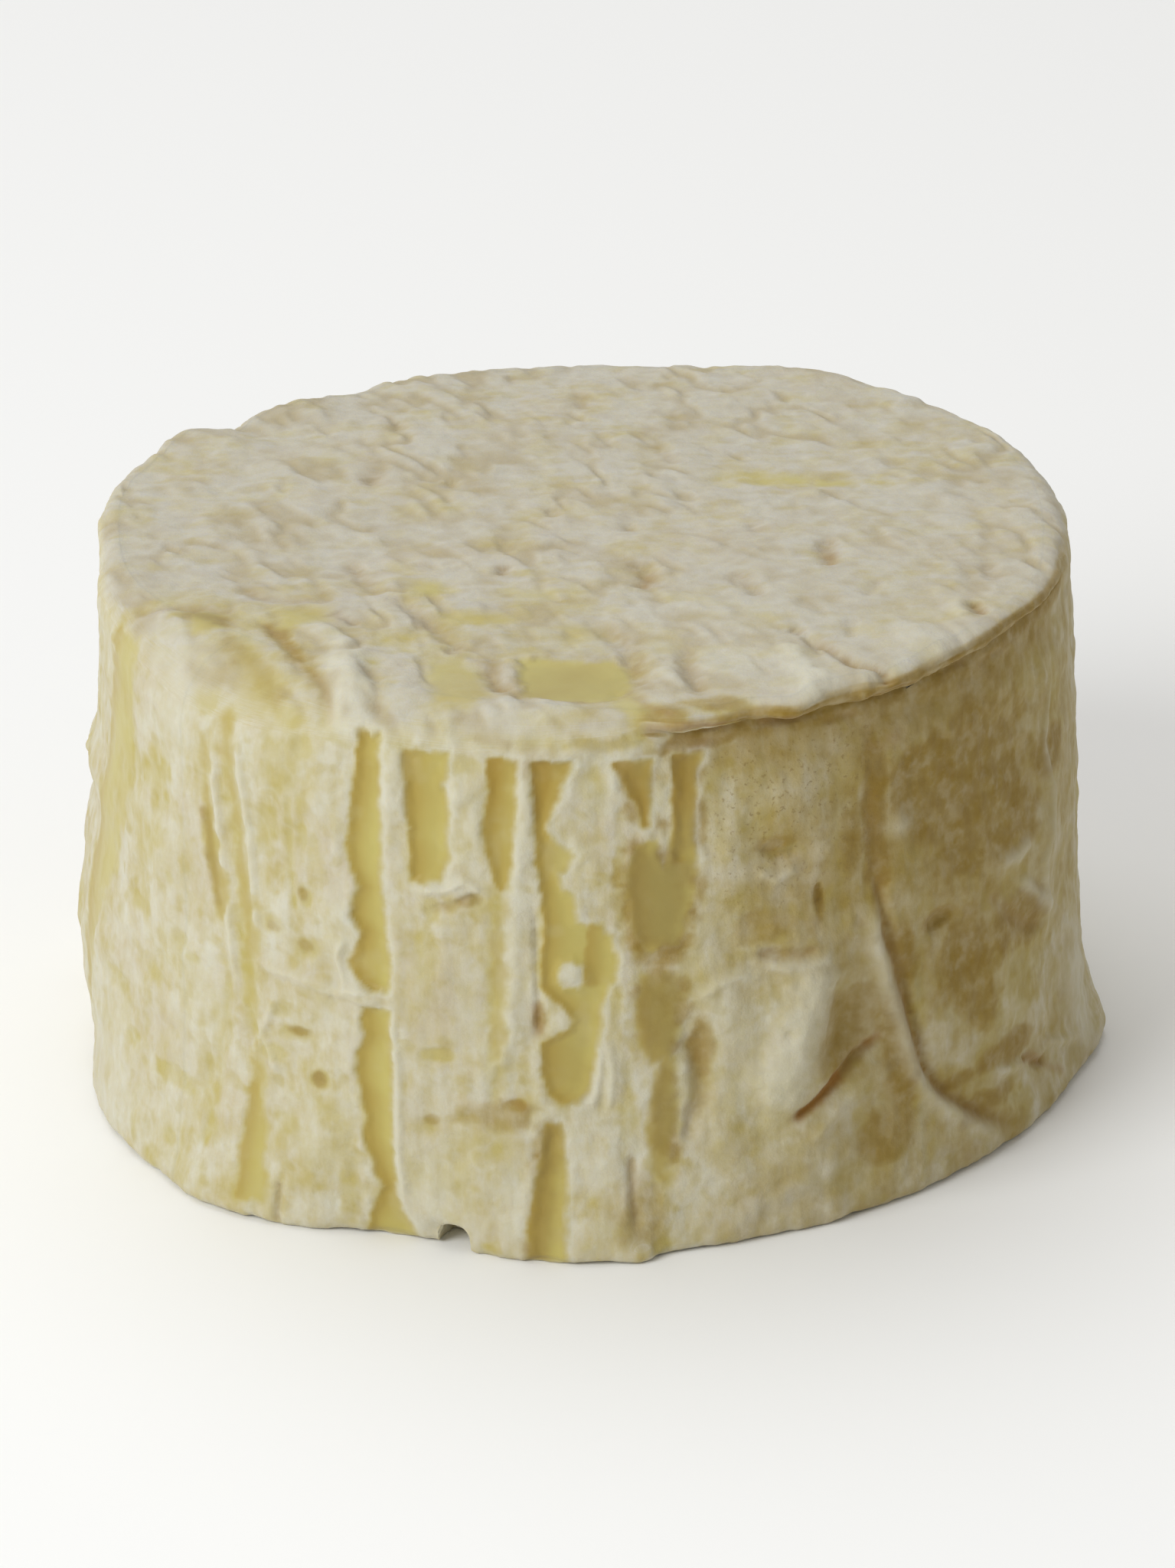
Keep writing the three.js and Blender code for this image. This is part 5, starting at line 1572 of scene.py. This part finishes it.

# %% Stains, and the shade painted below the lip: an even tan first, then brown that follows the same blotches more softly
tan = add(tree, "ShaderNodeMath", {0: share["stain"], 1: 1.5}, operation="MULTIPLY",
          use_clamp=True)
tan = add(tree, "ShaderNodeMath", {0: tan, 1: 0.7}, operation="MULTIPLY")
brown = add(tree, "ShaderNodeMath", {0: swing, 1: 0.6, 2: share["stain"]},
            operation="MULTIPLY_ADD")
brown = add(tree, "ShaderNodeMapRange", {0: brown, 1: 0.0, 2: 1.3, 4: 0.9})
stained_and_shaded = add(tree, "ShaderNodeMath", {0: share["stain"], 1: 4.0}, operation="MULTIPLY",
              use_clamp=True)
brown = add(tree, "ShaderNodeMath", {0: brown, 1: stained_and_shaded}, operation="MULTIPLY")
coats += [(tan, STAIN_AND_SHADE_TAN), (brown, STAIN_AND_SHADE_BROWN)]

# %% Grains in the stains, pale ones and dark ones
for full, most, tint in ((0.66, 0.36, GRAIN_PALE), (0.34, 0.7, STAIN_AND_SHADE_BROWN)):
    grain = add(tree, "ShaderNodeMapRange", {0: pattern["grain"], 1: 0.5, 2: full, 4: most})
    grain = add(tree, "ShaderNodeMath", {0: grain, 1: share["stain"]}, operation="MULTIPLY")
    coats.append((grain, tint))

# %% Small ochre flecks on all of it, and a net of pale veins where the mould is whole
fleckiest = add(tree, "ShaderNodeMapRange", {0: share["top_share"], 3: 0.46, 4: 0.1})
fleck = add(tree, "ShaderNodeMapRange", {0: pattern["fleck"], 1: 0.52, 2: 0.68, 4: fleckiest})
ochre = add(tree, "ShaderNodeMix", {0: share["stain"], 6: FLECK_OCHRE, 7: STAIN_AND_SHADE_BROWN},
            data_type="RGBA")
vein = add(tree, "ShaderNodeMath", {0: pattern["vein"], 1: 0.5}, operation="SUBTRACT")
vein = add(tree, "ShaderNodeMath", {0: vein}, operation="ABSOLUTE")
palest = add(tree, "ShaderNodeMapRange", {0: share["stain"], 2: 0.4, 3: 0.26, 4: 0.05})
vein = add(tree, "ShaderNodeMapRange", {0: vein, 1: 0.13, 2: 0.0, 4: palest})
coats += [(fleck, ochre), (vein, WHITE_BLOOM)]

# %% What the points keep by themselves: how much of it shows at most, and its colour
prick = add(tree, "ShaderNodeMapRange", {0: pattern["speck"], 1: 0.6, 2: 0.7, 4: 0.5})
# The pit coat paints shade into the hollows of pits and wrinkle valleys, and the bloom coat also
# lays the painted highlight along the strips' right edges.
OWN_COATS = {
    "bloom": (0.7, WHITE_BLOOM), "pit": (0.6, PIT_PAINTED_SHADE), "crease": (1.0, CREASE_BROWN),
    "rust": (1.0, RUST_ORANGE), "dots": (prick, DOT_BROWN),
}
for name, (most, tint) in OWN_COATS.items():
    amount = add(tree, "ShaderNodeMath", {0: share[name], 1: most}, operation="MULTIPLY",
                 use_clamp=True)
    coats.append((amount, tint))

# %% Bare paste: pale in clouds, amber where it ripened and as painted shade along the strips' left edges, darker with the stain share, which also holds the painted shade below the lip
pale = add(tree, "ShaderNodeMapRange", {0: pattern["cloud"], 1: 0.4, 2: 0.6})
shaded = add(tree, "ShaderNodeMath", {0: share["stain"], 1: 0.6}, operation="MULTIPLY")
paste = add(tree, "ShaderNodeMix", {0: pale, 6: PASTE, 7: PASTE_PALE}, data_type="RGBA")
for amount, tint in ((share["amber"], PASTE_AMBER), (shaded, PASTE_SHADE)):
    paste = add(tree, "ShaderNodeMix", {0: amount, 6: paste, 7: tint}, data_type="RGBA")
coats.append((share["bare"], paste))

# %% Lay the coats on
tone = beige
for amount, tint in coats:
    tone = add(tree, "ShaderNodeMix", {0: amount, 6: tone, 7: tint}, data_type="RGBA")
print("coats on the beige skin:", len(coats))

# %% The feel of the surface: dull felt, and a soft gloss on the paste
FELT_DEEP = 0.15 * MM
rough = add(tree, "ShaderNodeMapRange", {0: share["bare"], 3: 0.92, 4: 0.45})
felt = add(tree, "ShaderNodeMath", {0: pattern["speck"], 1: 0.5, 2: pattern["fuzz"]},
           operation="MULTIPLY_ADD")
felt_share = add(tree, "ShaderNodeMapRange", {0: share["bare"], 3: 0.7, 4: 0.06})
bump = add(tree, "ShaderNodeBump", {"Height": felt, "Strength": felt_share, "Distance": FELT_DEEP})
shader = add(tree, "ShaderNodeBsdfPrincipled", {
    "Base Color": tone, "Roughness": rough, "Normal": bump, "IOR": 1.4,
    "Specular IOR Level": 0.35, "Sheen Weight": 0.12, "Sheen Roughness": 0.6,
    "Subsurface Weight": 0.18, "Subsurface Scale": 1.2 * MM,
    "Subsurface Radius": (1.0, 0.75, 0.35),
})
add(tree, "ShaderNodeOutputMaterial", {"Surface": shader})
print("finish:", rind.name, "with", len(tree.nodes), "nodes")

# %% [markdown]
# Six pieces of one skin
# The whole skin has more triangles than one piece may hold. So it is parted like a cut cheese:
# four quarters of the wall, the top and the base. Each is closed by straight cuts to a point on
# the axis, so the six fill the drum with no gap between them. They keep the outward directions
# of the whole skin, which hides the cuts.

# %% Which cells each piece gets
CORE = np.array([0, 0, 14.0])  # low, so no cut comes near a pit of the top
CUTS = [-50, 40, 130, -147]  # degrees: between the torn strips
edges = [round((cut + 180) / 360 * COLUMNS) for cut in CUTS]
column_of_cell = np.tile(np.arange(COLUMNS), ROWS - 1)
parts = {}
for name, start, end in zip(("front", "right", "back", "left"), edges, edges[1:] + edges[:1]):
    inside = (column_of_cell - start) % COLUMNS < (end - start) % COLUMNS
    parts["cheese_" + name] = (np.flatnonzero(inside), start)
first_top = len(wall_cells)
first_base = first_top + len(top_cells)
parts["cheese_top"] = (first_top + np.arange(len(top_cells)), None)
parts["cheese_base"] = (first_base + np.arange(len(base_cells)), None)
for name, (cells, _) in parts.items():
    print(name, "cells:", len(cells))

# %% Where points lie on a piece's own map
MAP_ROOM = 0.94  # the skin's share of its map: the cuts lie in the band above it
WALL_ACROSS = 330.0  # columns from side to side of a wall piece's map
FACE_ACROSS = 100.0  # millimetres from side to side of a face's map
CUT_BAND = (MAP_ROOM + 0.01, 0.045)  # where the cuts' band starts, and how high it is
middle_cut = cuts.mean(2)
wall_length = np.cumsum(np.hypot(*np.diff(middle_cut, axis=0, prepend=middle_cut[:1]).T))


def flat_place(numbers, start):
    if start is None:
        return 0.5 + skin[numbers, :2] / FACE_ACROSS
    column = (numbers % COLUMNS - start) % COLUMNS
    return np.stack([column / WALL_ACROSS, wall_length[numbers // COLUMNS] / wall_length[-1]], -1)


# %% [markdown]
# Closing a piece
# A side of a cell that no other cell of the piece runs along belongs to the piece's border. A
# triangle from every such side to the core closes the piece.

# %% Make one piece
def part_of_skin(name, cell_numbers, start):
    cells = skin_cells[cell_numbers]
    used, local = np.unique(cells, return_inverse=True)
    local = local.reshape(cells.shape)
    sides = np.concatenate([local[:, [i, (i + 1) % 4]] for i in range(4)])
    there = sides[:, 0] * len(used) + sides[:, 1]
    back = sides[:, 1] * len(used) + sides[:, 0]
    border = sides[~np.isin(there, back)]
    core = np.full(len(border), len(used))
    closing = np.stack([border[:, 1], border[:, 0], core], -1)
    mesh = mesh_of(name, np.vstack([skin_done[used], CORE]), local, closing)
    for label, values in look.items():
        keep_values(mesh, label, np.append(values[used], 0))
    flat = flat_place(used, start) * MAP_ROOM
    step = np.arange(len(border)) / len(border)
    low = np.full(len(border), CUT_BAND[0])
    fan = [(step + 1 / len(border), low), (step, low), (step, low + CUT_BAND[1])]
    fan = np.stack([np.stack(corner, -1) for corner in fan], 1).reshape(-1, 2)
    layer = mesh.uv_layers.new(name="OFBake")
    spots = np.concatenate([flat[local.ravel()], fan])
    layer.data.foreach_set("uv", spots.astype(np.float32).ravel())
    facing = np.vstack([normals_done[used], (0, 0, 1)])
    mesh.normals_split_custom_set_from_vertices(facing.tolist())
    mesh.materials.append(rind)
    piece = bpy.data.objects.new(name, mesh)
    bpy.context.scene.collection.objects.link(piece)
    print(name, "triangles:", 2 * len(cells) + len(closing))
    return piece


# %% Make the six pieces, hang each on the root body and hide the imported cheese
for name, part in parts.items():
    piece = part_of_skin(name, *part)
    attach(piece, "root")
    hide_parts("cheese")

# %% [markdown]
# The floor
# The cheese stands on a plain pale floor, so wide that its edge is never in view. Matt paint
# gives the soft contact shadow and no reflection.

# %% The floor
FLOOR_RADIUS = 3.0
floor_mesh = bpy.data.meshes.new("floor")
shape = bmesh.new()
bmesh.ops.create_circle(shape, cap_ends=True, segments=96, radius=FLOOR_RADIUS)
shape.to_mesh(floor_mesh)
shape.free()
floor = bpy.data.objects.new("floor", floor_mesh)
bpy.context.scene.collection.objects.link(floor)
paint = bpy.data.materials.new("white_matt_paint")
paint.use_nodes = True
coat = paint.node_tree.nodes["Principled BSDF"].inputs
coat["Base Color"].default_value = colour("#f4f3f0")
coat["Roughness"].default_value = 0.9
floor_mesh.materials.append(paint)
print("floor radius:", FLOOR_RADIUS, "m")

# %% [markdown]
# The lights
# One large soft light from the left is the window. A larger one above is the sky, and an even
# pale room fills the shade.

# %% The lights: place and width in millimetres, power and tint
LIGHTS = {
    "window": ((-706, -636, 650), 700, 8.4, "#f6f9fc"),
    "sky": ((-200, 500, 1200), 1400, 7.0, "#fbfcff"),
}
ROOM_LIGHT = 0.45
scene = bpy.context.scene
target = Vector((*AXIS, 27.0)) * MM  # the middle of the cheese
for name, (where, wide, power, tint) in LIGHTS.items():
    lamp = bpy.data.lights.new(name, "AREA")
    lamp.shape = "DISK"
    lamp.size = wide * MM
    lamp.energy = power
    lamp.color = colour(tint)[:3]
    holder = bpy.data.objects.new(name, lamp)
    holder.location = Vector(where) * MM
    holder.rotation_euler = (target - holder.location).to_track_quat("-Z", "Y").to_euler()
    scene.collection.objects.link(holder)
    print(name, "light:", power, "W")
world = bpy.data.worlds.new("pale_room")
scene.world = world
world.use_nodes = True
air = world.node_tree.nodes["Background"].inputs
air["Color"].default_value = colour("#fcfcfb")
air["Strength"].default_value = ROOM_LIGHT
scene.view_settings.view_transform = "Standard"

# %% [markdown]
# The camera
# It looks down at 23 degrees from 0.6 m away, with a long lens that keeps the upright sides of
# the drum nearly parallel. The photograph is turned by a degree and a half and its middle lies
# beside the cheese's, so the camera rolls and the lens shifts by as much.

# %% The camera
DISTANCE = 600.0
TILT = math.radians(23.3)
ROLL = math.radians(1.5)
LENS = 147.83
SENSOR = 36
SHIFT = (0.0066, -0.0122)  # shares of the sensor
NEAREST = 0.01
back = Vector((0, -math.cos(TILT), math.sin(TILT)))
right = Vector((1, 0, 0))
up = back.cross(right)
rolled_right = right * math.cos(ROLL) - up * math.sin(ROLL)
rolled_up = right * math.sin(ROLL) + up * math.cos(ROLL)
lens = bpy.data.cameras.new("camera")
lens.lens = LENS
lens.sensor_width = lens.sensor_height = SENSOR
lens.shift_x, lens.shift_y = SHIFT
lens.clip_start = NEAREST
camera = bpy.data.objects.new("camera", lens)
view = Matrix((rolled_right, rolled_up, back)).transposed().to_4x4()
view.translation = target + back * DISTANCE * MM
camera.matrix_world = view
scene.collection.objects.link(camera)
scene.camera = camera
print("the camera stands", [round(value, 3) for value in view.translation], "m from the origin")

# %% [markdown]
# The last step
# Blender brings the whole scene up to date.

# %% Bring the scene up to date
bpy.context.view_layer.update()
